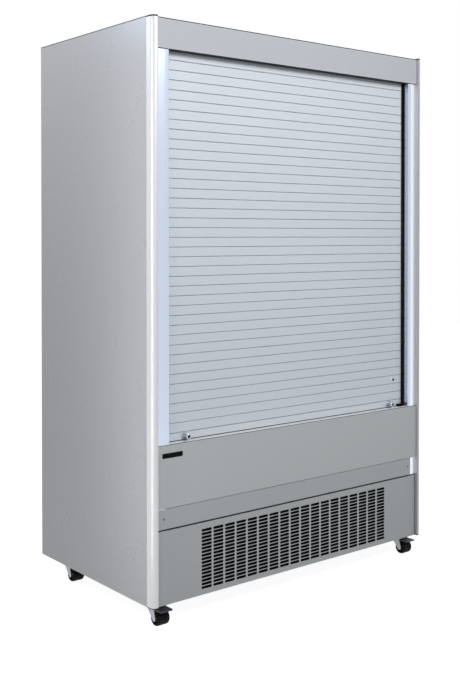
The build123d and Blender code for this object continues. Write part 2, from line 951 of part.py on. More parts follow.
# ---------------------------------------------------------------- shelves and lamp
slot_step = shelf_pitch / 4
bracket_x = inner_half - bracket_inset
upright_clear = 6.0
upright_front = duct_panel_setback - upright_depth
shelf_levels = [deck_level + (index + 1) * shelf_pitch for index in range(shelf_count)]
upright_top = ceiling_level - upright_head_room
upright_slots = 4 * (shelf_count - 1) + 2
with BuildPart() as slotted_uprights:
    outer_x = inner_half - upright_clear
    with BuildSketch(Plane.XY.offset(above(deck_level))):
        with BuildLine():
            Polyline(
                (outer_x, behind(duct_panel_setback)),
                (outer_x, behind(upright_front)),
                (outer_x - upright_width, behind(upright_front)),
                (outer_x - upright_width, behind(duct_panel_setback)),
                (outer_x - upright_width + sheet, behind(duct_panel_setback)),
                (outer_x - upright_width + sheet, behind(upright_front) + sheet),
                (outer_x - sheet, behind(upright_front) + sheet),
                (outer_x - sheet, behind(duct_panel_setback)),
                close=True,
            )
        make_face()
    extrude(amount=upright_top - deck_level)
    with BuildSketch(Plane.XZ.offset(-behind(upright_front) - sheet)):
        first_slot = shelf_levels[0] - bracket_front_height / 2 - slot_step
        for index in range(upright_slots):
            with Locations((bracket_x, above(first_slot + index * slot_step))):
                Rectangle(bracket_gauge + upright_slot_room, upright_slot_height)
    extrude(amount=sheet, mode=Mode.SUBTRACT)
    mirror(about=Plane.YZ)
keep(slotted_uprights, "slotted_uprights")

with BuildPart() as shelf_brackets:
    shelf_back = upright_front
    shelf_front = shelf_back - shelf_depth
    bracket_drop = slot_step + bracket_front_height
    for level in shelf_levels:
        with BuildSketch(Plane.YZ.offset(bracket_x - bracket_gauge / 2)):
            with BuildLine():
                Polyline(
                    (behind(shelf_front + shelf_edge), above(level)),
                    (behind(shelf_back) - touch_gap, above(level)),
                    (behind(shelf_back) - touch_gap, above(level - bracket_drop)),
                    (behind(shelf_back - bracket_foot), above(level - bracket_drop)),
                    (behind(shelf_front + shelf_edge), above(level - bracket_front_height)),
                    close=True,
                )
            make_face()
            for hook_drop in (bracket_front_height / 2, bracket_front_height / 2 + slot_step):
                plan(
                    behind(shelf_back - hook_width / 2),
                    behind(shelf_back + hook_width),
                    above(level - hook_drop) - hook_height / 2,
                    above(level - hook_drop) + hook_height / 2,
                )
        extrude(amount=bracket_gauge)
    mirror(about=Plane.YZ)
keep(shelf_brackets, "shelf_brackets")

# Each shelf is one sheet with a lip at the back and a ticket channel folded up at the front.
for index, level in enumerate(shelf_levels):
    ticket_bottom = above(level) - shelf_edge - ticket_drop
    with BuildPart() as shelf:
        with BuildSketch(Plane.YZ):
            with BuildLine():
                Polyline(
                    (behind(shelf_back - shelf_back_gap), above(level) + shelf_lip),
                    (behind(shelf_back - shelf_back_gap), above(level)),
                    (behind(shelf_front + ticket_lean), above(level)),
                    (behind(shelf_front + ticket_lean), above(level) - shelf_edge),
                    (behind(shelf_front + ticket_foot), ticket_bottom),
                    (behind(shelf_front), ticket_bottom + ticket_height),
                )
                offset(amount=sheet, side=Side.RIGHT, kind=Kind.INTERSECTION)
            make_face()
        extrude(amount=inner_half - touch_gap, both=True)
    keep(shelf, f"shelf_{index + 1}")

lamp_radius = 13.0
lamp_setback = discharge_back + 30.0
lamp_length = 1120.0
with BuildPart() as led_lamp:
    with BuildSketch(Plane.YZ):
        with Locations((behind(lamp_setback), above(ceiling_level))):
            Circle(lamp_radius)
        plan(
            behind(lamp_setback - lamp_radius),
            behind(lamp_setback + lamp_radius),
            above(ceiling_level),
            above(ceiling_level + lamp_radius),
            mode=Mode.SUBTRACT,
        )
    extrude(amount=lamp_length / 2, both=True)
keep(led_lamp, "led_lamp")

# ---------------------------------------------------------------- base and machine space
rail_bottom = 225.0
rail_top = 262.0
rail_depth = 22.0
rail_front = 40.0
base_back = depth - 5.0
with BuildPart() as base_chassis:
    with BuildSketch(Plane.XY.offset(body_bottom)):
        plan(-inner_half, inner_half, behind(rail_front), behind(base_back))
    extrude(amount=tray_flange)
    tray_top = base_chassis.faces().sort_by(Axis.Z)[-1]
    offset(amount=-tray_sheet, openings=tray_top)
    side_block(
        -inner_half,
        inner_half,
        behind(rail_front),
        behind(rail_front + rail_depth),
        above(rail_bottom),
        above(rail_top),
    )
    for side in (-1, 1):
        side_block(
            side * inner_half,
            side * (inner_half - rail_depth),
            behind(rail_front),
            behind(rail_front + rail_depth),
            above(tray_sheet),
            above(rail_bottom),
        )
keep(base_chassis, "base_chassis")

compressor_x = 180.0
compressor_setback = 400.0
dome_rise = 26.0
dome_step = 22.0
seam_step = 4.0
seam_level = 110.0
foot_width = 190.0
foot_depth = 168.0
with BuildPart() as compressor:
    shell_foot = above(2 * tray_sheet)
    compressor_y = behind(compressor_setback)
    with Locations((compressor_x, compressor_y, above(1.5 * tray_sheet))):
        Box(foot_width, foot_depth, tray_sheet)
    shell_steps = (
        (seam_level, compressor_radius),
        (compressor_height - dome_rise, compressor_radius - seam_step),
        (compressor_height, compressor_radius - dome_step),
    )
    for step_top, step_radius in shell_steps:
        with BuildSketch(Plane.XY.offset(shell_foot)):
            with Locations((compressor_x, compressor_y)):
                Circle(step_radius)
        extrude(amount=step_top)
keep(compressor, "compressor")

# The condenser stands behind the grille with its fan in a shroud at the back.
condenser_x = -330.0
condenser_setback = 70.0
condenser_back = condenser_setback + condenser_depth
condenser_middle = tray_sheet + condenser_height / 2
with BuildPart() as condenser_coil:
    add(
        finned_coil(
            condenser_x - condenser_width / 2,
            condenser_x + condenser_width / 2,
            condenser_setback,
            condenser_depth,
            tray_sheet,
            condenser_height,
            condenser_fins,
            coil_fin,
        ).part
    )
    side_block(
        condenser_x - condenser_width / 2,
        condenser_x + condenser_width / 2,
        behind(condenser_back),
        behind(condenser_back + shroud_depth),
        above(tray_sheet),
        above(tray_sheet + condenser_height),
    )
    side_block(
        condenser_x - condenser_width / 2 + sheet,
        condenser_x + condenser_width / 2 - sheet,
        behind(condenser_back),
        behind(condenser_back + shroud_depth - sheet),
        above(tray_sheet) + sheet,
        above(tray_sheet + condenser_height) - sheet,
        mode=Mode.SUBTRACT,
    )
    fan_mount(condenser_x, condenser_middle, condenser_fan_radius, condenser_back + shroud_depth)
keep(condenser_coil, "condenser_coil")

keep(
    fan_rotor(
        condenser_x,
        condenser_middle,
        condenser_back + shroud_depth,
        condenser_fan_radius - 2 * blade_gap,
        condenser_hub,
    ),
    "condenser_fan",
)

# The defrost water runs into an open pan on the base.
pan_width = 320.0
pan_length = 260.0
pan_height = 50.0
pan_corner = 16.0
with BuildPart() as drip_tray:
    with BuildSketch(Plane.XY.offset(above(tray_sheet))) as pan_outline:
        with Locations((condenser_x, behind(duct_panel_setback - pan_length))):
            Rectangle(pan_width, pan_length)
        chamfer(pan_outline.vertices(), length=pan_corner)
    extrude(amount=pan_height)
    pan_rim = drip_tray.faces().sort_by(Axis.Z)[-1]
    offset(amount=-panel_sheet, openings=pan_rim)
keep(drip_tray, "drip_tray")

# The electric box stands by the rear grille, with a recessed mains inlet through it.
control_x = 480.0
control_width = 150.0
control_depth = 160.0
control_height = 150.0
control_back = depth - 35.0
inlet_width = 32.0
inlet_height = 24.0
inlet_level = 95.0
inlet_recess = 14.0
inlet_wall = 3.0
control_edge = 5.0
with BuildPart() as control_box:
    with BuildSketch(Plane.XY.offset(above(tray_sheet))):
        plan(
            control_x - control_width / 2,
            control_x + control_width / 2,
            behind(control_back - control_depth),
            behind(control_back),
        )
    extrude(amount=control_height)
    chamfer(control_box.edges().filter_by(Axis.Z), length=control_edge)
    side_block(
        control_x - inlet_width / 2,
        control_x + inlet_width / 2,
        behind(control_back),
        back,
        above(inlet_level) - inlet_height / 2,
        above(inlet_level) + inlet_height / 2,
    )
    side_block(
        control_x - inlet_width / 2 + inlet_wall,
        control_x + inlet_width / 2 - inlet_wall,
        back - inlet_recess,
        back,
        above(inlet_level) - inlet_height / 2 + inlet_wall,
        above(inlet_level) + inlet_height / 2 - inlet_wall,
        mode=Mode.SUBTRACT,
    )
keep(control_box, "control_box")

vents_x = -150.0
vent_length = 180.0
vent_height = 8.0
vent_pitch_x = 220.0
vent_pitch_z = 36.0
vent_columns = 4
vent_rows = 5
with BuildPart() as rear_grille:
    vent_middle = above((tray_flange + riser_bottom) / 2)
    with BuildSketch(Plane.XZ.offset(-back)):
        plan(-inner_half, inner_half, above(tray_flange), above(riser_bottom))
        with Locations((vents_x, vent_middle)):
            with GridLocations(vent_pitch_x, vent_pitch_z, vent_columns, vent_rows):
                Rectangle(vent_length, vent_height, mode=Mode.SUBTRACT)
        with Locations((control_x, above(inlet_level))):
            Rectangle(inlet_width + 2 * touch_gap, inlet_height + 2 * touch_gap, mode=Mode.SUBTRACT)
    extrude(amount=sheet)
keep(rear_grille, "rear_grille")

# ---------------------------------------------------------------- castors
castor_x = half - castor_inset
castor_spots = {
    "front_left": (-castor_x, front_castor_setback),
    "front_right": (castor_x, front_castor_setback),
    "rear_left": (-castor_x, rear_castor_setback),
    "rear_right": (castor_x, rear_castor_setback),
}
leg_inner = wheel_width / 2 + fork_side_gap
fork_half_width = leg_inner + fork_gauge
crown_front = 20.0
crown_back = 18.0
axle_boss = 9.0
kingpin_top = castor_height - castor_plate - 1
pedal_hinge = 18.0
pedal_hinge_level = 55.0
pedal_pin = 2.5
knuckle_radius = 4.5
pedal_length = 44.0
pedal_neck = 10.0
pedal_neck_width = 40.0
shoe_length = 8.0
shoe_offset = 12.0
shoe_gap = 0.4
pedal_corner = 3.0

with BuildPart() as castor_plates:
    for x, setback in castor_spots.values():
        with BuildSketch(Plane.XY.offset(castor_height - castor_plate)) as plate_outline:
            with Locations((x, behind(setback))):
                Rectangle(castor_plate_size, castor_plate_size)
            chamfer(plate_outline.vertices(), length=plate_corner)
        extrude(amount=castor_plate)
        with BuildSketch(Plane.XY.offset(race_level)):
            with Locations((x, behind(setback))):
                Circle(race_radius)
                Circle(kingpin_radius + running_fit, mode=Mode.SUBTRACT)
        extrude(amount=castor_height - castor_plate - race_level)
keep(castor_plates, "castor_plates")


def castor_fork(x, setback, has_brake):
    """A fork: two tapered legs from a crown plate to the axle, and the kingpin above."""
    swivel_y = behind(setback)
    with BuildPart() as fork:
        for leg_x in (x + leg_inner, x - fork_half_width):
            with BuildSketch(Plane.YZ.offset(leg_x)):
                with Locations((swivel_y - castor_trail, wheel_radius)):
                    RegularPolygon(axle_boss, 8, rotation=22.5)
                plan(
                    swivel_y - crown_front,
                    swivel_y + crown_back,
                    fork_crown_level,
                    fork_crown_level + fork_gauge,
                )
                make_hull()
            extrude(amount=fork_gauge)
        side_block(
            x - fork_half_width,
            x + fork_half_width,
            swivel_y - crown_front,
            swivel_y + crown_back,
            fork_crown_level,
            fork_crown_level + fork_gauge,
        )
        with BuildSketch(Plane.XY.offset(fork_crown_level + fork_gauge)):
            with Locations((x, swivel_y)):
                Circle(kingpin_radius)
        extrude(amount=kingpin_top - fork_crown_level - fork_gauge)
        with BuildSketch(Plane.YZ.offset(x - fork_half_width)):
            with Locations((swivel_y - castor_trail, wheel_radius)):
                Circle(wheel_bore)
        extrude(amount=2 * fork_half_width)
        if has_brake:
            with BuildSketch(Plane.YZ.offset(x - fork_half_width)):
                with Locations((swivel_y - pedal_hinge, pedal_hinge_level)):
                    Circle(pedal_pin)
            extrude(amount=2 * fork_half_width)
    return fork


def castor_wheel(x, setback):
    """A solid wheel, bored for its axle: a wide tread between two lower side discs."""
    discs = (
        (wheel_width, wheel_radius - wheel_step),
        (wheel_width - 2 * wheel_shoulder, wheel_radius),
    )
    with BuildPart() as wheel:
        for disc_width, disc_radius in discs:
            with BuildSketch(Plane.YZ.offset(x - disc_width / 2)):
                with Locations((behind(setback) - castor_trail, wheel_radius)):
                    Circle(disc_radius)
            extrude(amount=disc_width)
        with BuildSketch(Plane.YZ.offset(x - wheel_width / 2)):
            with Locations((behind(setback) - castor_trail, wheel_radius)):
                Circle(wheel_bore + running_fit)
        extrude(amount=wheel_width, mode=Mode.SUBTRACT)
    return wheel


def brake_pedal(x, setback):
    """A brake pedal over the wheel: a knuckle on its pin, a shoe and a wide foot plate."""
    hinge_y = behind(setback) - pedal_hinge
    plate_bottom = pedal_hinge_level - pedal_gauge / 2
    shoe_bottom = 2 * wheel_radius + shoe_gap
    with BuildPart() as pedal:
        with BuildSketch(Plane.YZ.offset(x - pedal_neck_width / 2)):
            with Locations((hinge_y, pedal_hinge_level)):
                Circle(knuckle_radius)
            plan(hinge_y - pedal_neck - pedal_gauge, hinge_y, plate_bottom, plate_bottom + pedal_gauge)
            plan(
                hinge_y - shoe_offset - shoe_length / 2,
                hinge_y - shoe_offset + shoe_length / 2,
                shoe_bottom,
                plate_bottom,
            )
            with Locations((hinge_y, pedal_hinge_level)):
                Circle(pedal_pin + running_fit, mode=Mode.SUBTRACT)
        extrude(amount=pedal_neck_width)
        with BuildSketch(Plane.XY.offset(plate_bottom)) as foot_plate:
            plan(x - pedal_width / 2, x + pedal_width / 2, hinge_y - pedal_length, hinge_y - pedal_neck)
            chamfer(foot_plate.vertices().group_by(Axis.Y)[0], length=pedal_corner)
        extrude(amount=pedal_gauge)
        front_edge = pedal.edges().filter_by(Axis.X).group_by(Axis.Y)[0].sort_by(Axis.Z)[-1]
        chamfer(front_edge, length=pedal_gauge / 3)
    return pedal


for place, (x, setback) in castor_spots.items():
    is_front = place.startswith("front")
    keep(castor_fork(x, setback, is_front), f"castor_fork_{place}")
    keep(castor_wheel(x, setback), f"castor_wheel_{place}")
    if is_front:
        keep(brake_pedal(x, setback), f"brake_pedal_{place}")
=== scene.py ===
# %% [markdown]
# # A display fridge with a slatted roller shutter
#
# The cabinet is a tall insulated case on four castors. Its open front is closed by a roller
# shutter that winds onto a barrel behind the canopy. A measured frame already holds every solid
# and every moving body at its real size. This script gives that frame its visible skin: the
# rounded edges, the punched grille, the slats, the locks and castors, and the finishes.

import json
import math

import bmesh
import bpy
from mathutils import Matrix, Vector

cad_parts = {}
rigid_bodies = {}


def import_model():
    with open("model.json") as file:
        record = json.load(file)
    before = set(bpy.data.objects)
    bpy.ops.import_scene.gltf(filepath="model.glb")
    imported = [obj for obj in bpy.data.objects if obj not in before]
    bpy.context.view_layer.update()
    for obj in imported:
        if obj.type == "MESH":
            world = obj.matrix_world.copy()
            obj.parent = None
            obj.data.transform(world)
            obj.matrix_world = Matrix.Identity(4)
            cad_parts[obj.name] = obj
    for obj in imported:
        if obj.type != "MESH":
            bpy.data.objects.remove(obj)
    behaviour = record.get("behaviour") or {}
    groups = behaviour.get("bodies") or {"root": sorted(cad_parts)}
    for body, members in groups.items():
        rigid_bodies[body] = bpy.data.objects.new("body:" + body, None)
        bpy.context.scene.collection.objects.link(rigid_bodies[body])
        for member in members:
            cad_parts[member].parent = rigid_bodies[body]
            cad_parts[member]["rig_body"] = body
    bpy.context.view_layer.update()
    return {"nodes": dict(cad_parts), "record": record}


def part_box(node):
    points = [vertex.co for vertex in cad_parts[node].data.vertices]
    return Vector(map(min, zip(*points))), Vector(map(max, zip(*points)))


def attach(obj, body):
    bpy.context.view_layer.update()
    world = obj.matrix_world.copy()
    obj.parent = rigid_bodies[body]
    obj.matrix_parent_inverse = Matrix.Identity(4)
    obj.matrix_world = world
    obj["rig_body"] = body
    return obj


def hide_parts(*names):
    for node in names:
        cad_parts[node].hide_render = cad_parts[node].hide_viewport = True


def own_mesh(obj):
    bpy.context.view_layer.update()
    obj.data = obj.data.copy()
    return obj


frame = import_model()
nodes = frame["nodes"]
slot_of = {part["node"]: part["material_slot"] for part in frame["record"]["subparts"]}
mm = 0.001


def rounded(place, digits=3):
    """A place with its coordinates rounded, for printing."""
    return tuple(round(value, digits) for value in place)


# %% [markdown]
# ## The camera
#
# The cabinet is seen nearly level, from its left front, at the height of a person's chest, and
# its upright edges stay almost parallel. A camera that is tilted down to centre the cabinet
# would make them lean. A camera that looks down by under one degree, with its film shifted,
# keeps them upright, so the shift does here what a shift lens does in a studio.

# %% Camera
eye = Vector((-2.4953, -3.0482, 1.2903))
heading = math.radians(-38.8948)
look_down = math.radians(0.7656)
camera_data = bpy.data.cameras.new("camera")
camera_data.lens = 53.30
camera_data.shift_y = -0.1308
camera_data.clip_end = 60
camera = bpy.data.objects.new("camera", camera_data)
camera.location = eye
camera.rotation_euler = (math.radians(90) - look_down, 0, heading)
bpy.context.scene.collection.objects.link(camera)
bpy.context.scene.camera = camera
print("camera distance to the cabinet", round(eye.xy.length, 3), "m")

# %% [markdown]
# ## Floor, surroundings and lamps
#
# The background is plain white. Brighter lamps could burn it out, but they would burn the
# cabinet out too. So the world and the floor are white only for rays that come straight from
# the camera or off a mirror-like surface, and the lamps stay at a level where a painted colour
# comes out about as it is written.

# %% Surroundings
scene = bpy.context.scene
scene.view_settings.view_transform = "Standard"


def white_for_seen_rays(tree):
    """A mask that is 1 for camera, glossy and transmission rays."""
    path = tree.nodes.new("ShaderNodeLightPath")
    either = tree.nodes.new("ShaderNodeMath")
    either.operation = "MAXIMUM"
    tree.links.new(path.outputs["Is Camera Ray"], either.inputs[0])
    tree.links.new(path.outputs["Is Glossy Ray"], either.inputs[1])
    seen = tree.nodes.new("ShaderNodeMath")
    seen.operation = "MAXIMUM"
    tree.links.new(either.outputs[0], seen.inputs[0])
    tree.links.new(path.outputs["Is Transmission Ray"], seen.inputs[1])
    return seen.outputs[0]


ambient_level = 0.25
world = bpy.data.worlds.new("studio")
world.use_nodes = True
scene.world = world
sky = world.node_tree
sky.nodes.clear()
ambient = sky.nodes.new("ShaderNodeBackground")
ambient.inputs["Color"].default_value = (0.97, 0.98, 1.0, 1)
ambient.inputs["Strength"].default_value = ambient_level
backdrop = sky.nodes.new("ShaderNodeBackground")
backdrop.inputs["Color"].default_value = (1, 1, 1, 1)
backdrop.inputs["Strength"].default_value = 1.0
choose = sky.nodes.new("ShaderNodeMixShader")
out = sky.nodes.new("ShaderNodeOutputWorld")
sky.links.new(white_for_seen_rays(sky), choose.inputs[0])
sky.links.new(ambient.outputs[0], choose.inputs[1])
sky.links.new(backdrop.outputs[0], choose.inputs[2])
sky.links.new(choose.outputs[0], out.inputs["Surface"])
print("ambient light", ambient_level)

# %% [markdown]
# The floor is a pale sheet that takes the cabinet's shadow. Its own glow is added for seen rays
# only, so it looks white where light falls on it and soft grey in the shadow, and it throws
# little light back up. That lets the cabinet grow darker towards its foot, as it does in a room
# that is lit from above.

# %% Floor
floor_reach = 9.0
floor_glow = 0.93
floor_mesh = bpy.data.meshes.new("floor")
floor_shape = bmesh.new()
bmesh.ops.create_grid(floor_shape, x_segments=1, y_segments=1, size=floor_reach)
floor_shape.to_mesh(floor_mesh)
floor_shape.free()
floor = bpy.data.objects.new("floor", floor_mesh)
scene.collection.objects.link(floor)

floor_paint = bpy.data.materials.new("floor white")
floor_paint.use_nodes = True
tree = floor_paint.node_tree
tree.nodes.clear()
plain = tree.nodes.new("ShaderNodeBsdfDiffuse")
plain.inputs["Color"].default_value = (0.40, 0.40, 0.40, 1)
glow = tree.nodes.new("ShaderNodeEmission")
glow.inputs["Color"].default_value = (1, 1, 1, 1)
share = tree.nodes.new("ShaderNodeMath")
share.operation = "MULTIPLY"
share.inputs[1].default_value = floor_glow
both = tree.nodes.new("ShaderNodeAddShader")
out = tree.nodes.new("ShaderNodeOutputMaterial")
tree.links.new(white_for_seen_rays(tree), share.inputs[0])
tree.links.new(share.outputs[0], glow.inputs["Strength"])
tree.links.new(plain.outputs[0], both.inputs[0])
tree.links.new(glow.outputs[0], both.inputs[1])
tree.links.new(both.outputs[0], out.inputs["Surface"])
floor_mesh.materials.append(floor_paint)
print("floor", floor_reach * 2, "m wide")


# %% [markdown]
# The front lamp hangs high, so the front grows darker towards the floor. A tall narrow strip
# stands close to the left front corner and draws the bright line down the edge of the side wall
# and the nose of the post. A broad lamp above lights the side, and a bluish one far behind gives
# the top of the side the tint of daylight. None of them shows to the camera.

# %% Lamps
def soft_box(name, place, target, width, height, power, colour):
    """A rectangular lamp at a place, turned to a target and unseen by the camera."""
    data = bpy.data.lights.new(name, "AREA")
    data.shape = "RECTANGLE"
    data.size = width
    data.size_y = height
    data.energy = power
    data.color = colour
    lamp = bpy.data.objects.new(name, data)
    lamp.location = place
    lamp.visible_camera = False
    aim = Vector(target) - Vector(place)
    lamp.rotation_euler = aim.to_track_quat("-Z", "Y").to_euler()
    scene.collection.objects.link(lamp)



warm_white = (1.0, 0.99, 0.96)
near_white = (0.98, 0.98, 1.0)
cool_white = (0.95, 0.97, 1.0)
daylight = (0.58, 0.78, 1.0)
lamps = [
    # name, place, target, width, height, power in watts, colour
    ("front lamp", (-0.12, -2.7, 2.8), (0.12, -0.4, 1.7), 1.0, 0.8, 43, (1, 1, 1)),
    ("strip lamp", (-1.95, -1.15, 1.2), (-0.66, -0.37, 1.05), 0.22, 2.3, 3.5, warm_white),
    ("side lamp", (-1.75, 0.3, 3.3), (-0.66, 0.1, 1.9), 1.2, 0.6, 20, near_white),
    ("edge lamp", (-1.02, -0.4, 1.1), (-0.66, -0.33, 1.1), 0.06, 2.0, 2.1, cool_white),
    ("sky lamp", (-2.3, 1.9, 3.0), (-0.66, -0.3, 2.0), 0.5, 1.0, 11, daylight),
]
for lamp in lamps:
    soft_box(*lamp)
print("lamps:", [lamp[0] for lamp in lamps])

# %% [markdown]
# ## Finishes
#
# Real sheet metal is never one flat colour. Its tone drifts a little over the sheet, hands and
# cloths change its gloss, and the paint has a fine skin like orange peel. Each of these effects
# is a node group, built once. Every material then holds its own Principled shader and feeds it
# from the groups with its own values.

# %% Colours as they are mixed
def mixed(red, green, blue):
    """A paint colour given as screen values from 0 to 255, in a shader's linear values."""

    def linear(value):
        share = value / 255
        return share / 12.92 if share <= 0.04045 else ((share + 0.055) / 1.055) ** 2.4

    return (linear(red), linear(green), linear(blue), 1.0)


# %% A group for tone that drifts over the surface
def new_group(name, inputs, outputs):
    """A shader node group with float or colour sockets, given as name, type and value."""
    group = bpy.data.node_groups.new(name, "ShaderNodeTree")
    for socket, kind, value in inputs:
        made = group.interface.new_socket(name=socket, in_out="INPUT", socket_type=kind)
        made.default_value = value
    for socket, kind in outputs:
        group.interface.new_socket(name=socket, in_out="OUTPUT", socket_type=kind)
    return group, group.nodes.new("NodeGroupInput"), group.nodes.new("NodeGroupOutput")


number = "NodeSocketFloat"
tone_group, given, result = new_group(
    "tone drift",
    [
        ("Colour", "NodeSocketColor", (0.5, 0.5, 0.5, 1)),
        ("Scale", number, 2.0),
        ("Amount", number, 0.1),
    ],
    [("Colour", "NodeSocketColor")],
)
place = tone_group.nodes.new("ShaderNodeTexCoord")
cloud = tone_group.nodes.new("ShaderNodeTexNoise")
cloud.inputs["Detail"].default_value = 3
centred = tone_group.nodes.new("ShaderNodeMath")
centred.operation = "SUBTRACT"
centred.inputs[1].default_value = 0.5
swing = tone_group.nodes.new("ShaderNodeMath")
swing.operation = "MULTIPLY_ADD"
swing.inputs[2].default_value = 1.0
tinted = tone_group.nodes.new("ShaderNodeVectorMath")
tinted.operation = "SCALE"
tone_group.links.new(place.outputs["Object"], cloud.inputs["Vector"])
tone_group.links.new(given.outputs["Scale"], cloud.inputs["Scale"])
tone_group.links.new(cloud.outputs["Fac"], centred.inputs[0])
tone_group.links.new(centred.outputs[0], swing.inputs[0])
tone_group.links.new(given.outputs["Amount"], swing.inputs[1])
tone_group.links.new(given.outputs["Colour"], tinted.inputs[0])
tone_group.links.new(swing.outputs[0], tinted.inputs["Scale"])
tone_group.links.new(tinted.outputs[0], result.inputs["Colour"])

# %% A group for gloss that hands and cloths have changed
gloss_group, given, result = new_group(
    "handled gloss",
    [("Roughness", number, 0.4), ("Scale", number, 6.0), ("Amount", number, 0.08)],
    [("Roughness", number)],
)
place = gloss_group.nodes.new("ShaderNodeTexCoord")
smudge = gloss_group.nodes.new("ShaderNodeTexNoise")
smudge.inputs["Detail"].default_value = 5
smudge.inputs["Roughness"].default_value = 0.65
centred = gloss_group.nodes.new("ShaderNodeMath")
centred.operation = "SUBTRACT"
centred.inputs[1].default_value = 0.5
changed = gloss_group.nodes.new("ShaderNodeMath")
changed.operation = "MULTIPLY_ADD"
gloss_group.links.new(place.outputs["Object"], smudge.inputs["Vector"])
gloss_group.links.new(given.outputs["Scale"], smudge.inputs["Scale"])
gloss_group.links.new(smudge.outputs["Fac"], centred.inputs[0])
gloss_group.links.new(centred.outputs[0], changed.inputs[0])
gloss_group.links.new(given.outputs["Amount"], changed.inputs[1])
gloss_group.links.new(given.outputs["Roughness"], changed.inputs[2])
gloss_group.links.new(changed.outputs[0], result.inputs["Roughness"])

# %% A group for grain, stretched along one direction where the metal is brushed or drawn
grain_group, given, result = new_group(
    "grain",
    [("Scale", number, 400.0), ("Stretch", "NodeSocketVector", (1, 1, 1)), ("Detail", number, 2.0)],
    [("Height", number)],
)
place = grain_group.nodes.new("ShaderNodeTexCoord")
drawn = grain_group.nodes.new("ShaderNodeVectorMath")
drawn.operation = "MULTIPLY"
speckle = grain_group.nodes.new("ShaderNodeTexNoise")
grain_group.links.new(place.outputs["Object"], drawn.inputs[0])
grain_group.links.new(given.outputs["Stretch"], drawn.inputs[1])
grain_group.links.new(drawn.outputs[0], speckle.inputs["Vector"])
grain_group.links.new(given.outputs["Scale"], speckle.inputs["Scale"])
grain_group.links.new(given.outputs["Detail"], speckle.inputs["Detail"])
grain_group.links.new(speckle.outputs["Fac"], result.inputs["Height"])

# %% A group for dust that gathers low down
dust_group, given, result = new_group(
    "low dust",
    [
        ("Colour", "NodeSocketColor", (0.5, 0.5, 0.5, 1)),
        ("Dust", "NodeSocketColor", (0.45, 0.43, 0.40, 1)),
        ("Top", number, 0.2),
        ("Amount", number, 0.2),
    ],
    [("Colour", "NodeSocketColor")],
)
place = dust_group.nodes.new("ShaderNodeTexCoord")
height = dust_group.nodes.new("ShaderNodeSeparateXYZ")
fall = dust_group.nodes.new("ShaderNodeMapRange")
fall.inputs["From Min"].default_value = 0.0
fall.inputs["To Min"].default_value = 1.0
fall.inputs["To Max"].default_value = 0.0
patch = dust_group.nodes.new("ShaderNodeTexNoise")
patch.inputs["Scale"].default_value = 45.0
patch.inputs["Detail"].default_value = 4
uneven = dust_group.nodes.new("ShaderNodeMath")
uneven.operation = "MULTIPLY"
share = dust_group.nodes.new("ShaderNodeMath")
share.operation = "MULTIPLY"
share.use_clamp = True
laid = dust_group.nodes.new("ShaderNodeMix")
laid.data_type = "RGBA"
dust_group.links.new(place.outputs["Object"], height.inputs[0])
dust_group.links.new(place.outputs["Object"], patch.inputs["Vector"])
dust_group.links.new(height.outputs["Z"], fall.inputs["Value"])
dust_group.links.new(given.outputs["Top"], fall.inputs["From Max"])
dust_group.links.new(fall.outputs["Result"], uneven.inputs[0])
dust_group.links.new(patch.outputs["Fac"], uneven.inputs[1])
dust_group.links.new(uneven.outputs[0], share.inputs[0])
dust_group.links.new(given.outputs["Amount"], share.inputs[1])
dust_group.links.new(share.outputs[0], laid.inputs["Factor"])
dust_group.links.new(given.outputs["Colour"], laid.inputs["A"])
dust_group.links.new(given.outputs["Dust"], laid.inputs["B"])
dust_group.links.new(laid.outputs["Result"], result.inputs["Colour"])


# %% The maker of a finish
coat_roughness = 0.15


def finish(
    name,
    colour,
    roughness,
    metallic=0.0,
    drift=0.05,
    drift_scale=1.6,
    smudge=0.06,
    grain_scale=500.0,
    stretch=(1, 1, 1),
    bump=0.05,
    bump_height=0.0002,
    coat=0.0,
    dust=0.0,
    dust_top=0.3,
    shine=0.5,
):
    """A Principled material fed by the tone, gloss, grain and dust groups."""
    material = bpy.data.materials.new(name)
    material.use_nodes = True
    tree = material.node_tree
    shader = tree.nodes["Principled BSDF"]
    shader.inputs["Metallic"].default_value = metallic
    shader.inputs["Specular IOR Level"].default_value = shine
    shader.inputs["Coat Weight"].default_value = coat
    shader.inputs["Coat Roughness"].default_value = coat_roughness

    def effect(group, **values):
        node = tree.nodes.new("ShaderNodeGroup")
        node.node_tree = group
        for socket, value in values.items():
            node.inputs[socket].default_value = value
        return node

    tone = effect(tone_group, Colour=colour, Scale=drift_scale, Amount=drift)
    paint = tone.outputs["Colour"]
    if dust:
        dusty = effect(dust_group, Top=dust_top, Amount=dust)
        tree.links.new(paint, dusty.inputs["Colour"])
        paint = dusty.outputs["Colour"]
    tree.links.new(paint, shader.inputs["Base Color"])
    gloss = effect(gloss_group, Roughness=roughness, Amount=smudge)
    tree.links.new(gloss.outputs["Roughness"], shader.inputs["Roughness"])
    grain = effect(grain_group, Scale=grain_scale, Stretch=stretch)
    relief = tree.nodes.new("ShaderNodeBump")
    relief.inputs["Strength"].default_value = bump
    relief.inputs["Distance"].default_value = bump_height
    tree.links.new(grain.outputs["Height"], relief.inputs["Height"])
    tree.links.new(relief.outputs["Normal"], shader.inputs["Normal"])
    return material


# %% [markdown]
# Each slot of the part gets one finish. Painted sheet has a fine even grain. The drawn
# aluminium of the slats, guides and posts has its grain stretched along the piece, the way the
# die leaves it.

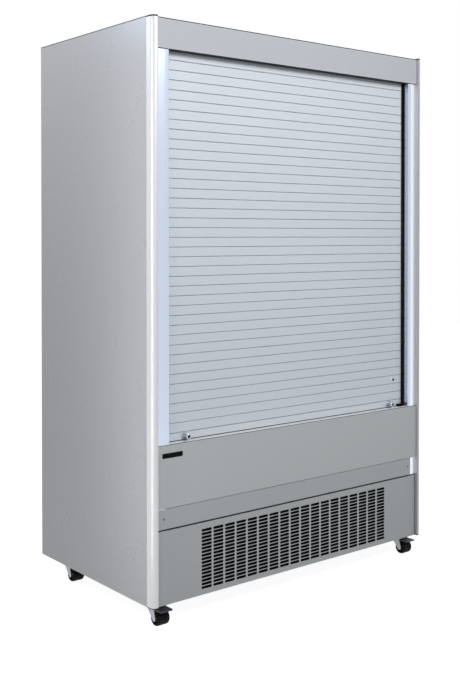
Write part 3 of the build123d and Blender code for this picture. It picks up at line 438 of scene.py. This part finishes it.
# %% One finish for each slot
along_x = (0.02, 1, 1)
along_z = (1, 1, 0.02)
along_hair = (0.05, 1, 1)
finishes = {
    "panel_grey": finish(
        "grey wall paint", mixed(184, 184, 187), 0.28, drift=0.05, coat=0.2, bump=0.06
    ),
    "canopy_grey": finish("canopy paint", mixed(197, 199, 207), 0.38, drift=0.04, bump=0.08),
    "front_grey": finish(
        "front paint", mixed(190, 195, 198), 0.40, drift=0.05, bump=0.08, dust=0.25, dust_top=0.35
    ),
    "post_white": finish(
        "post aluminium",
        mixed(224, 224, 226),
        0.32,
        metallic=0.3,
        drift=0.03,
        stretch=along_z,
        bump=0.02,
    ),
    "cap_dark": finish("dark cap plastic and painted shade", mixed(17, 17, 19), 0.6, bump=0.25, shine=0.2),
    "jamb_light": finish(
        "jamb aluminium", mixed(205, 215, 234), 0.22, metallic=0.9, drift=0.03, stretch=along_z
    ),
    "guide_silver": finish(
        "guide aluminium", mixed(203, 213, 231), 0.22, metallic=0.9, drift=0.03, stretch=along_z
    ),
    "black_brush": finish(
        "brush hair", mixed(12, 12, 13), 0.9, bump=0.8, stretch=along_hair, shine=0.1
    ),
    "slat_silver": finish(
        "slat aluminium",
        mixed(224, 231, 239),
        0.42,
        metallic=0.1,
        drift=0.04,
        drift_scale=3.0,
        stretch=along_x,
        bump=0.12,
    ),
    "sill_dark": finish("sill aluminium", mixed(236, 237, 238), 0.40, stretch=along_x),
    "lock_chrome": finish(
        "chrome", mixed(186, 190, 198), 0.16, metallic=1.0, drift=0.02, smudge=0.04, bump=0.02
    ),
    "lock_black": finish("blackened steel", mixed(9, 9, 10), 0.5, shine=0.2),
    "seal_rubber": finish("seal rubber", mixed(26, 26, 27), 0.75, bump=0.4),
    "liner_white": finish("liner paint", mixed(228, 231, 232), 0.40, bump=0.06),
    "foam_white": finish("back wall paint", mixed(214, 216, 219), 0.48, bump=0.10),
    "galvanised": finish(
        "zinc sheet",
        mixed(176, 179, 182),
        0.42,
        metallic=0.7,
        drift=0.22,
        drift_scale=30.0,
        bump=0.1,
    ),
    "chassis_black": finish("chassis paint", mixed(30, 30, 32), 0.6, bump=0.2, dust=0.5),
    "fin_aluminium": finish(
        "fin aluminium",
        mixed(150, 152, 156),
        0.4,
        metallic=0.7,
        drift=0.2,
        drift_scale=60.0,
        dust=0.4,
    ),
    "compressor_black": finish(
        "shell enamel", mixed(20, 20, 22), 0.22, coat=0.4, dust=0.4, dust_top=0.4
    ),
    "fan_plastic": finish("fan plastic", mixed(38, 38, 40), 0.55, bump=0.2),
    "tray_plastic": finish("tray plastic", mixed(62, 63, 66), 0.6, bump=0.2, dust=0.4),
    "lamp_opal": finish("opal cover", mixed(244, 244, 238), 0.3),
    "castor_zinc": finish(
        "castor zinc",
        mixed(172, 176, 184),
        0.34,
        metallic=0.7,
        drift=0.12,
        drift_scale=40.0,
        dust=0.3,
        dust_top=0.1,
    ),
    "wheel_black": finish(
        "tyre rubber", mixed(6, 6, 6), 0.55, bump=0.3, dust=0.02, dust_top=0.04, shine=0.1
    ),
    "pedal_black": finish(
        "pedal plastic", mixed(40, 43, 54), 0.4, bump=0.2, dust=0.2, dust_top=0.1
    ),
}
lamp_shader = finishes["lamp_opal"].node_tree.nodes["Principled BSDF"]
lamp_shader.inputs["Emission Color"].default_value = (1.0, 0.98, 0.94, 1)
lamp_shader.inputs["Emission Strength"].default_value = 2.0

# The condenser coil shares its slot with bright fins, but it is given a black finish, which is
# also painted shade for the dark machine room behind the grille.
coil_black_and_shade = finish("coil black and painted shade", mixed(22, 22, 23), 0.6, drift=0.2, bump=0.3, dust=0.3)
for name, node in nodes.items():
    node.data.materials.clear()
    node.data.materials.append(coil_black_and_shade if name == "condenser_coil" else finishes[slot_of[name]])
print(len(finishes), "finishes on", len(nodes), "nodes")

# %% [markdown]
# ## How the sheet pieces get their edges
#
# Folded sheet never has a razor edge: every fold and every cut edge catches a thin line of
# light. The frame's solids have sharp edges, so a piece of sheet is made from a copy of its
# solid. The copy is merged into one skin, its flat triangles are joined again, and every edge
# that turns is rounded. Modelling each sheet again by hand would give the same shape with more
# chances to miss a hole, so the copy is the better way.

# %% Rounding edges
def turning_edges(shape, angle=30):
    """The edges of a shape at which its surface turns by more than an angle in degrees."""
    limit = math.radians(angle)
    return [e for e in shape.edges if len(e.link_faces) == 2 and e.calc_face_angle(0) > limit]


def round_edges(shape, edges, width, segments=2):
    """Round edges by a width in metres."""
    bmesh.ops.bevel(
        shape,
        geom=edges,
        offset=width,
        offset_type="OFFSET",
        affect="EDGES",
        segments=segments,
        profile=0.5,
        material=-1,
        clamp_overlap=True,
    )


# %% A finished piece
def piece(name, shape, body, slot, replaced=(), look=None, smooth_angle=40):
    """Make an object of a shape, give it a finish and let it ride on a body."""
    mesh = bpy.data.meshes.new(name)
    shape.to_mesh(mesh)
    shape.free()
    mesh.shade_smooth()
    mesh.set_sharp_from_angle(angle=math.radians(smooth_angle))
    mesh.materials.append(look or finishes[slot])
    made = bpy.data.objects.new(name, mesh)
    scene.collection.objects.link(made)
    even = made.modifiers.new("even normals", "WEIGHTED_NORMAL")
    even.keep_sharp = True
    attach(made, body)
    if replaced:
        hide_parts(*replaced)
    return made


merge_reach = 0.01 * mm
flat_enough = math.radians(1)


def merged_copy(node_name):
    """One skin of a solid of the frame, with its flat triangles joined."""
    shape = bmesh.new()
    shape.from_mesh(nodes[node_name].data)
    bmesh.ops.remove_doubles(shape, verts=shape.verts, dist=merge_reach)
    bmesh.ops.dissolve_limit(
        shape, angle_limit=flat_enough, verts=shape.verts, edges=shape.edges
    )
    return shape


def softened(node_name, width, segments=2, look=None):
    """A copy of a solid with rounded edges, which then stands for it."""
    shape = merged_copy(node_name)
    round_edges(shape, turning_edges(shape), width, segments)
    body = nodes[node_name]["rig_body"]
    return piece(node_name + "_skin", shape, body, slot_of[node_name], [node_name], look)


# %% Sheets and panels of the case
sheet_edges = {
    "back_panel": 1.0 * mm,
    "roof_panel": 1.0 * mm,
    "service_strip": 0.6 * mm,
    "sill_trim": 0.3 * mm,
    "guide_rails": 0.5 * mm,
    "base_deck": 0.8 * mm,
    "ceiling_panel": 0.8 * mm,
    "shutter_box": 0.8 * mm,
    "base_chassis": 1.0 * mm,
}
for name, width in sheet_edges.items():
    made = softened(name, width)
    print(made.name, len(made.data.polygons), "faces")

# %% [markdown]
# A thin dark edging runs along the top of the side walls and along the top of the canopy. A
# dark band along the foot of the canopy is painted shade, the shadow line under its edge, and a
# dark hairline along the top of the upper front panel is painted shade, the shadow gap under the
# sill. Each is the same fold of a sheet, only in another finish, so the skin is cut along level
# lines and the faces beyond them get the dark finish. Separate strips would need joints that
# aren't there.

# %% Dark edging along the top, and bands of painted shade
edging_height = 3 * mm
# The canopy's dark foot band is painted shade: the shadow line under its edge.
canopy_foot_shade = 2.2 * mm
# The riser's dark top hairline is painted shade: the shadow gap under the sill.
riser_top_shade = 1.4 * mm


def edged(node_name, width, foot=0.0, top=edging_height, look=None):
    """A softened copy of a solid whose top band and foot band are dark, the foot as painted shade.
    """
    shape = merged_copy(node_name)
    round_edges(shape, turning_edges(shape), width)
    low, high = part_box(node_name)
    for level in (high.z - top, low.z + foot):
        everything = shape.verts[:] + shape.edges[:] + shape.faces[:]
        bmesh.ops.bisect_plane(shape, geom=everything, plane_co=(0, 0, level), plane_no=(0, 0, 1))
    for face in shape.faces:
        middle = face.calc_center_median().z
        face.material_index = int(middle > high.z - top or middle < low.z + foot)
    made = piece(node_name + "_skin", shape, "cabinet", slot_of[node_name], [node_name], look)
    made.data.materials.append(finishes["cap_dark"])
    return made


# Only the canopy gets a foot band of painted shade.
foot_shades = {"side_panel_left": 0.0, "side_panel_right": 0.0, "canopy_fascia": canopy_foot_shade}
for name, foot in foot_shades.items():
    made = edged(name, 0.6 * mm, foot)
    print(made.name, len(made.data.polygons), "faces")
upper_paint = finish("upper front paint", mixed(202, 208, 210), 0.40, drift=0.05, bump=0.08)
# The dark top band of the riser is painted shade, not a trim.
edged("riser_panel", 0.4 * mm, top=riser_top_shade, look=upper_paint)

# %% [markdown]
# ## Corner posts
#
# The two front corners are drawn aluminium posts with a full round nose on the outside. A box
# is enough to start from: its outer front edge is rolled over in many steps, and its other
# upright edges only lose their sharpness. Dark caps close both ends. The right post stands away
# from the lamps, so its metal is given a darker tone than the left one's: painted shade on the
# same aluminium.

# %% Boxes, and shapes put together
def box_between(low, high):
    """A box between two corners."""
    shape = bmesh.new()
    size = Vector(high) - Vector(low)
    centre = (Vector(high) + Vector(low)) / 2
    bmesh.ops.create_cube(shape, size=1.0, matrix=Matrix.LocRotScale(centre, None, size))
    return shape


def joined(shapes):
    """Put several shapes into the first one."""
    first, *others = shapes
    for other in others:
        holder = bpy.data.meshes.new("holder")
        other.to_mesh(holder)
        other.free()
        first.from_mesh(holder)
        bpy.data.meshes.remove(holder)
    return first


same_place = 0.1 * mm


def upright_at(shape, x, y):
    """The upright edge of a box at a place in plan."""

    def here(vertex):
        return abs(vertex.co.x - x) < same_place and abs(vertex.co.y - y) < same_place

    return [e for e in shape.edges if here(e.verts[0]) and here(e.verts[1])]


# %% Posts and their caps
post_width = 22 * mm
nose_radius = 17 * mm
nose_steps = 12
cap_grip = 2 * mm
cap_shrink = 0.3 * mm
post_low, post_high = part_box("corner_posts")
cap_low, cap_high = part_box("post_end_caps")


def post(side, bottom, top, shrink=0.0):
    """One post on a side, -1 or 1, with its nose rolled over."""
    outer = side * (post_high.x - shrink)
    inner = side * (post_high.x - post_width)
    front = post_low.y + shrink
    shape = box_between((min(inner, outer), front, bottom), (max(inner, outer), post_high.y, top))
    round_edges(shape, upright_at(shape, outer, front), nose_radius, nose_steps)
    return shape


# The right post's darker tone is painted shade on the same aluminium as the left post.
post_with_painted_shade = finish(
    "post aluminium with painted shade",
    mixed(178, 180, 186),
    0.34,
    metallic=0.3,
    drift=0.03,
    stretch=along_z,
    bump=0.02,
)
for side, label, look in ((-1, "left", None), (1, "right", post_with_painted_shade)):
    shape = post(side, post_low.z, post_high.z - cap_grip)
    round_edges(shape, turning_edges(shape), 0.6 * mm)
    piece("post_" + label, shape, "cabinet", "post_white", ["corner_posts"], look)
cap_ends = ((cap_low.z, post_low.z), (post_high.z - cap_grip, cap_high.z))
caps = joined([post(side, low, high, cap_shrink) for side in (-1, 1) for low, high in cap_ends])
round_edges(caps, turning_edges(caps), 0.7 * mm)
piece("post_caps_skin", caps, "cabinet", "cap_dark", ["post_end_caps"])
print("posts from", round(post_low.z, 4), "to", round(post_high.z, 4))

# %% [markdown]
# ## Jambs
#
# A jamb stands between each post and the shutter guide. Its face is splayed: its inner edge
# lies level with the guide's flange, so the two read as one smooth band. It is a box whose
# inner front edge is moved. The right jamb is made nearly white, a painted highlight on the
# same aluminium, while the left one has the blue-grey tone of the guides.

# %% Jambs
jamb_splay = 2 * mm
jamb_low, jamb_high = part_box("jamb_profiles")
wall_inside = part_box("guide_rails")[1].x
# The right jamb's near-white is a painted highlight on the same aluminium as the left jamb.
jamb_with_painted_highlight = finish(
    "jamb aluminium with painted highlight", mixed(244, 249, 253), 0.30, metallic=0.85, drift=0.02, stretch=along_z
)
for side, label, look in ((-1, "left", None), (1, "right", jamb_with_painted_highlight)):
    inner, outer = side * wall_inside, side * jamb_high.x
    shape = box_between(
        (min(inner, outer), jamb_low.y, jamb_low.z), (max(inner, outer), jamb_high.y, jamb_high.z)
    )
    for vertex in shape.verts:
        if abs(vertex.co.x - inner) < same_place and vertex.co.y < jamb_low.y + mm:
            vertex.co.y -= jamb_splay
    round_edges(shape, turning_edges(shape), 0.4 * mm)
    piece("jamb_" + label, shape, "cabinet", "jamb_light", ["jamb_profiles"], look)
print("jambs", round((jamb_high.x - wall_inside) / mm, 1), "mm wide")

# %% [markdown]
# ## The punched grille
#
# The lower front panel is punched with rows of round-ended slots, 18 across and 17 high, so
# that air reaches the condenser. One flat outline and all the slot outlines are filled
# together, because a fill leaves the holes open by itself. Cutting 306 holes one after the
# other would be slow and would leave rough triangles.

# %% Slot outlines
slot_length = 44.5 * mm
slot_height = 9.8 * mm
slot_pitch_x = 50.9 * mm
slot_pitch_z = 12.2 * mm
slots_across = 18
slots_high = 17
slot_points = 16
sheet = 0.8 * mm
off_middle = 0.01 * mm
slots_centre = Vector((2.65 * mm, 0, 193.6 * mm))
grille_low, grille_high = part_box("lower_grille")


def slot_outline(shape, centre):
    """A slot with round ends: a circle whose halves are moved apart."""
    stand = Matrix.Translation(centre) @ Matrix.Rotation(math.radians(90), 4, "X")
    ring = bmesh.ops.create_circle(
        shape, segments=slot_points, radius=slot_height / 2, matrix=stand
    )
    reach = (slot_length - slot_height) / 2
    right = [v for v in ring["verts"] if v.co.x > centre.x + off_middle]
    left = [v for v in ring["verts"] if v.co.x < centre.x - off_middle]
    middle = [v for v in ring["verts"] if v not in right and v not in left]
    bmesh.ops.translate(shape, verts=right + middle, vec=(reach, 0, 0))
    bmesh.ops.translate(shape, verts=left, vec=(-reach, 0, 0))


grille = bmesh.new()
sheet_middle = Vector((0, grille_low.y, (grille_low.z + grille_high.z) / 2))
sheet_size = grille_high - grille_low
bmesh.ops.create_grid(
    grille,
    x_segments=1,
    y_segments=1,
    size=0.5,
    matrix=Matrix.Translation(sheet_middle)
    @ Matrix.Rotation(math.radians(90), 4, "X")
    @ Matrix.Diagonal((sheet_size.x, sheet_size.z, 1, 1)),
)
bmesh.ops.delete(grille, geom=grille.faces[:], context="FACES_ONLY")
for column in range(slots_across):
    for row in range(slots_high):
        across = (column - (slots_across - 1) / 2) * slot_pitch_x
        up = (row - (slots_high - 1) / 2) * slot_pitch_z
        slot_outline(grille, slots_centre + Vector((across, grille_low.y, up)))
bmesh.ops.triangle_fill(grille, use_beauty=True, use_dissolve=False, edges=grille.edges[:])
print("grille sheet has", len(grille.faces), "triangles round", slots_across * slots_high, "slots")

# %% Give the sheet its thickness and folded sides
for face in grille.faces:
    if face.normal.y > 0:
        face.normal_flip()
pushed = bmesh.ops.extrude_face_region(grille, geom=grille.faces[:], use_keep_orig=True)
back_points = [g for g in pushed["geom"] if isinstance(g, bmesh.types.BMVert)]
bmesh.ops.translate(grille, verts=back_points, vec=(0, sheet, 0))
bmesh.ops.recalc_face_normals(grille, faces=grille.faces[:])
fold = grille_low.y + sheet
side_in = grille_high.x - sheet
returns = [
    box_between((-grille_high.x, fold, grille_low.z), (-side_in, grille_high.y, grille_high.z)),
    box_between((side_in, fold, grille_low.z), (grille_high.x, grille_high.y, grille_high.z)),
    box_between((-side_in, fold, grille_high.z - sheet), (side_in, grille_high.y, grille_high.z)),
    box_between((-side_in, fold, grille_low.z), (side_in, grille_high.y, grille_low.z + sheet)),
]
piece("grille_skin", joined([grille] + returns), "cabinet", "front_grey", ["lower_grille"])

# %% [markdown]
# Behind the slots lies a black sheet of painted shade. It is what makes the slots look black
# from outside, where an empty opening would show the machine room.

# %% A black sheet of painted shade behind the slots
shade_sheet_reach = Vector((468 * mm, 0, 112 * mm))
shade_sheet_gap = 3 * mm
shade_sheet_thickness = 6 * mm
shade_sheet_edge = 1.2 * mm
shade_sheet_front = Vector((slots_centre.x, grille_low.y + shade_sheet_gap, slots_centre.z))
shade_sheet = box_between(shade_sheet_front - shade_sheet_reach, shade_sheet_front + shade_sheet_reach + Vector((0, shade_sheet_thickness, 0)))
round_edges(shade_sheet, turning_edges(shade_sheet), shade_sheet_edge)
# The near-black of this sheet is painted shade for the machine room behind the slots.
shade_sheet_look = finish("painted shade sheet", mixed(7, 7, 7), 0.95, grain_scale=900.0, bump=0.9, shine=0.05)
piece("painted_shade_sheet", shade_sheet, "cabinet", "black_brush", (), shade_sheet_look)

# %% [markdown]
# ## The slats
#
# A slat of a roller shutter is a drawn aluminium section. Its flat face has a hook along its
# foot, and above its shoulder a tongue rises and hooks into the next slat. Only a narrow
# shadow line shows between two slats. The section is drawn once as a few points and pushed
# along its length, which is how the die makes the real one. A grid with grooves pressed in
# would look the same from the front, but it would have no joints for the curtain to bend at.

# %% The section of one slat
slat_pitch = 32.75 * mm
slat_low, slat_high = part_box("lower_slats")
slat_front = slat_low.y
slat_half = slat_high.x
section_foot = 0.3 * mm
first_level = slat_low.z - section_foot
slat_section = [
    # how far back from the face and how far up from the level, in millimetres
    (0.6, 0.3),
    (5.0, 0.3),
    (5.0, 1.9),
    (2.1, 1.9),
    (2.1, 29.2),
    (8.0, 30.2),
    (8.0, 36.5),
    (3.4, 36.5),
    (3.4, 35.0),
    (6.4, 35.0),
    (6.4, 31.9),
    (0.9, 31.0),
    (0.3, 30.6),
    (0.0, 30.0),
    (0.0, 1.1),
    (0.2, 0.5),
]


def slat_run(level, x_from, x_to):
    """One slat between two places along its length, above a level."""
    shape = bmesh.new()
    corners = [
        shape.verts.new((x_from, slat_front + back * mm, level + up * mm))
        for back, up in slat_section
    ]
    end = shape.faces.new(corners)
    pushed = bmesh.ops.extrude_face_region(shape, geom=[end], use_keep_orig=True)
    far = [g for g in pushed["geom"] if isinstance(g, bmesh.types.BMVert)]
    bmesh.ops.translate(shape, verts=far, vec=(x_to - x_from, 0, 0))
    bmesh.ops.recalc_face_normals(shape, faces=shape.faces[:])
    return shape


def slat_rows(first, last, x_from, x_to):
    """Slats from one row to another, counted from the bottom bar."""
    levels = [first_level + row * slat_pitch for row in range(first, last)]
    return joined([slat_run(level, x_from, x_to) for level in levels])


# %% [markdown]
# The three lowest slats carry the key lock and stay flat. The ones above wind onto the barrel;
# here they stay fixed on the cabinet. Each slat ends in a pale moulded cap, with a narrow seam
# before it.

# %% Slats and their end caps
slat_cap = finish("slat end cap", mixed(232, 235, 238), 0.45, bump=0.05)
curtain_low, curtain_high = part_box("shutter_curtain")
seam_at = 566 * mm
seam_gap = 0.3 * mm
rows_flat = 3
rows_all = 39
for first, last, label, node, body in (
    (0, rows_flat, "low_slat", "lower_slats", "shutter"),
    (rows_flat, rows_all, "curtain_slat", "shutter_curtain", "cabinet"),
):
    runs = slat_rows(first, last, -seam_at, seam_at)
    ends = joined(
        [
            slat_rows(first, last, -slat_half, -seam_at - seam_gap),
            slat_rows(first, last, seam_at + seam_gap, slat_half),
        ]
    )
    for shape, part, look in ((runs, "runs", None), (ends, "ends", slat_cap)):
        made = piece(f"{label}_{part}", shape, body, "slat_silver", [node], look, smooth_angle=15)
        if body == "cabinet":
            made.modifiers.clear()
            top = (0, 0, curtain_high.z)
            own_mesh(made)
        print(made.name, len(made.data.polygons), "faces")

# %% The bottom bar and its seal
softened("bottom_bar", 0.5 * mm)
softened("bottom_seal", 0.8 * mm)

# %% [markdown]
# ## Locks
#
# Two chrome barrels stand out of the bottom bar, and a flush lock sits in the third slat. Each
# has a black plug with a key slot. They are turned parts, so each is a short outline spun
# about its own axis. The plugs are pieces of their own, because they turn with the key.

# %% Turning an outline
poles_reach = 0.001 * mm


def turned(outline, centre, axis="Y", steps=40):
    """Spin an outline of (distance along the axis, radius) in millimetres about an axis."""
    along = {"X": Vector((1, 0, 0)), "Y": Vector((0, 1, 0)), "Z": Vector((0, 0, 1))}[axis]
    across = {"X": Vector((0, 0, 1)), "Y": Vector((0, 0, 1)), "Z": Vector((1, 0, 0))}[axis]
    shape = bmesh.new()
    spots = [
        shape.verts.new(Vector(centre) + along * (far * mm) + across * (radius * mm))
        for far, radius in outline
    ]
    lines = [shape.edges.new((one, two)) for one, two in zip(spots, spots[1:])]
    bmesh.ops.spin(
        shape,
        geom=spots + lines,
        cent=Vector(centre),
        axis=along,
        angle=math.radians(360),
        steps=steps,
        use_merge=True,
    )
    bmesh.ops.remove_doubles(shape, verts=shape.verts, dist=poles_reach)
    bmesh.ops.recalc_face_normals(shape, faces=shape.faces[:])
    return shape


# %% Barrels and the flush ring
lock_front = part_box("lock_bodies")[0].y
lock_x = 505 * mm
lock_z = 618 * mm
flush_x = 536 * mm
flush_z = 711.8 * mm
flush_stand = 1.5 * mm
barrel_outline = [
    (28.0, 5.2),
    (0.6, 5.2),
    (0.2, 5.6),
    (0.0, 6.2),
    (0.0, 7.0),
    (0.4, 8.0),
    (1.4, 9.1),
    (2.6, 9.7),
    (4.0, 10.0),
    (24.0, 10.0),
    (24.6, 9.4),
    (25.2, 10.0),
    (28.0, 10.0),
    (28.0, 5.2),
]
flush_outline = [
    (1.5, 5.2),
    (0.5, 5.2),
    (0.0, 6.0),
    (0.0, 9.6),
    (0.3, 10.5),
    (1.0, 11.0),
    (1.5, 11.0),
    (1.5, 5.2),
]
lock_metal = joined(
    [turned(barrel_outline, (side * lock_x, lock_front, lock_z)) for side in (-1, 1)]
    + [turned(flush_outline, (flush_x, slat_front - flush_stand, flush_z))]
)
piece("lock_metal", lock_metal, "shutter", "lock_chrome", ["lock_bodies"])


# %% Plugs
for name in ("lock_plug_left", "lock_plug_right", "slat_lock_plug"):
    softened(name, 0.25 * mm)

# %% [markdown]
# ## Brush strips
#
# A black brush in each guide keeps draughts out beside the slats. Its hair is far too fine to
# model one by one, so tufts stand for it: thin prisms in a close row, each with a slight lean
# of its own. A plain strip would look like rubber.

# %% Tufts along the guides
brush_low, brush_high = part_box("guide_brushes")
stop_height = 10 * mm
carrier_inner = 594 * mm
tuft_tip = 580 * mm
tuft_pitch = 3.2 * mm
tuft_width = 2.7 * mm
tuft_depth = 6.6 * mm
lean_reach = 0.4 * mm
lean_turn = 2.399
stop_inner = 556 * mm
brush_middle = (brush_low.y + brush_high.y) / 2
brush_foot = brush_low.z + stop_height
tufts = bmesh.new()
count = int((brush_high.z - brush_foot) / tuft_pitch)
for side in (-1, 1):
    for number_up in range(count):
        z = brush_foot + (number_up + 0.5) * tuft_pitch
        lean = math.sin(number_up * lean_turn) * lean_reach
        centre = Vector((side * (tuft_tip + carrier_inner) / 2, brush_middle, z))
        size = Vector((carrier_inner - tuft_tip, tuft_depth, tuft_width))
        made = bmesh.ops.create_cube(tufts, size=1.0, matrix=Matrix.LocRotScale(centre, None, size))
        tips = [v for v in made["verts"] if abs(v.co.x) < abs(centre.x)]
        bmesh.ops.scale(tufts, verts=tips, vec=(1, 0.55, 0.9), space=Matrix.Translation(-centre))
        bmesh.ops.translate(tufts, verts=tips, vec=(0, lean, lean))
carriers = []
for side in (-1, 1):
    for near, far, top in (
        (carrier_inner, brush_high.x, brush_high.z),
        (stop_inner if side > 0 else tuft_tip, carrier_inner, brush_foot),
    ):
        ends = sorted([side * near, side * far])
        carriers.append(
            box_between((ends[0], brush_low.y, brush_low.z), (ends[1], brush_high.y, top))
        )
carrier = joined(carriers)
round_edges(carrier, turning_edges(carrier), 0.5 * mm)
piece("brush_strips", joined([carrier, tufts]), "cabinet", "black_brush", ["guide_brushes"])
print(count * 2, "tufts")

# %% [markdown]
# ## Small fittings on the front
#
# A small plate sits at the left of the upper panel. It stays blank here. Below it, two pan
# head screws hold the service strip.

# %% Blank plate
panel_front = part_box("riser_panel")[0].y
plate_low = Vector((-616.5 * mm, panel_front - 1.6 * mm, 558.5 * mm))
plate_high = Vector((-534.5 * mm, panel_front, 574.5 * mm))
plate_corner = 3.4 * mm
plate = box_between(plate_low, plate_high)
corner_edges = [e for e in plate.edges if abs(e.verts[0].co.y - e.verts[1].co.y) > mm]
round_edges(plate, corner_edges, plate_corner, 5)
front_face = min(plate.faces, key=lambda f: f.calc_center_median().y)
bmesh.ops.inset_region(plate, faces=[front_face], thickness=0.9 * mm, depth=-0.35 * mm)
round_edges(plate, turning_edges(plate), 0.2 * mm)
plate_look = finish("blank plate enamel", mixed(6, 7, 7), 0.45, bump=0.04, shine=0.06)
piece("blank_plate", plate, "cabinet", "front_grey", (), plate_look)


# %% Pan head screws
def pan_head(x, y, z, radius=4.0):
    """A pan head facing the front, with a dark cross of painted shade for its recess."""
    head = turned(
        [(0.0, radius), (-0.6, radius), (-1.5, radius * 0.86), (-2.0, radius * 0.55), (-2.1, 0)],
        (x, y, z),
        steps=24,
    )
    bars = []
    for wide, tall in ((0.62, 0.13), (0.13, 0.62)):
        bars.append(
            box_between(
                (x - wide * radius * mm, y - 2.2 * mm, z - tall * radius * mm),
                (x + wide * radius * mm, y - 1.9 * mm, z + tall * radius * mm),
            )
        )
    return head, joined(bars)


screw_metal = finish("bright screw", mixed(120, 122, 126), 0.25, metallic=1.0, drift=0.05)
screw_places = (-611, 590)
screw_height = 358.5 * mm
heads, recess_shades = zip(*[pan_head(x * mm, panel_front, screw_height) for x in screw_places])
piece("strip_screws", joined(list(heads)), "cabinet", "front_grey", (), screw_metal)
# The cross recesses are dark bars of painted shade laid on the heads, not cut into them.
piece("strip_screw_recess_shades", joined(list(recess_shades)), "cabinet", "cap_dark")

# %% [markdown]
# ## Castors
#
# Four twin-tread castors carry the cabinet, and the front two have a brake pedal. The wheel is
# a turned shape with rounded shoulders and a groove round its middle, so its outline is spun
# about the axle. Fork, plate and pedal are pressed or cast pieces whose solids only need their
# edges rounded.

# %% Wheels
half_outline = [
    (15.0, 5.5),
    (16.0, 9.0),
    (15.5, 15.0),
    (18.5, 17.0),
    (21.5, 18.5),
    (23.0, 20.2),
    (22.6, 22.2),
    (20.2, 24.2),
    (16.5, 25.0),
    (3.5, 25.0),
    (2.0, 24.4),
    (1.3, 23.2),
]
other_half = [(-far, radius) for far, radius in half_outline]
wheel_outline = other_half + half_outline[::-1] + other_half[:1]
wheel_steps = 48
corners = ("front_left", "front_right", "rear_left", "rear_right")
for corner in corners:
    node = "castor_wheel_" + corner
    low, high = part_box(node)
    centre = (low + high) / 2
    wheel = turned(wheel_outline, centre, "X", wheel_steps)
    piece("wheel_" + corner + "_tread", wheel, nodes[node]["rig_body"], "wheel_black", [node])
    print(node, "at", rounded(centre, 4))

# %% Forks, plates and pedals
for name in [n for n in nodes if n.startswith(("castor_fork", "castor_plates", "brake_pedal"))]:
    softened(name, 0.7 * mm)

# %% [markdown]
# ## The pieces inside and behind
#
# Shelves, brackets, ducts and the machine room show when the shutter is up or from the back.
# They are plain folded sheet and mouldings, so what they need is the thin rounded edge that
# such pieces have. Their holes and slots are already in the frame's solids.

# %% Soften what is left
inner_edges = {
    "insulated_tank": 0.8 * mm,
    "shelf_1": 0.6 * mm,
    "shelf_2": 0.6 * mm,
    "shelf_3": 0.6 * mm,
    "shelf_4": 0.6 * mm,
    "shelf_brackets": 0.4 * mm,
    "slotted_uprights": 0.2 * mm,
    "rear_duct_panel": 0.3 * mm,
    "return_air_grille": 0.3 * mm,
    "discharge_grille": 0.3 * mm,
    "led_lamp": 1.0 * mm,
    "fan_plate": 0.3 * mm,
    "evaporator_fan_1": 0.4 * mm,
    "evaporator_fan_2": 0.4 * mm,
    "condenser_fan": 0.4 * mm,
    "barrel_brackets": 0.4 * mm,
    "roller_barrel": 0.4 * mm,
    "rear_grille": 0.4 * mm,
    "drip_tray": 1.0 * mm,
    "control_box": 2.0 * mm,
    "compressor": 4.0 * mm,
}
for name, width in inner_edges.items():
    made = softened(name, width)
    print(made.name, len(made.data.polygons), "faces")

# %% [markdown]
# ## The last step
#
# The visible skin has to stay inside the measured frame.

# %% Update the scene
bpy.context.view_layer.update()
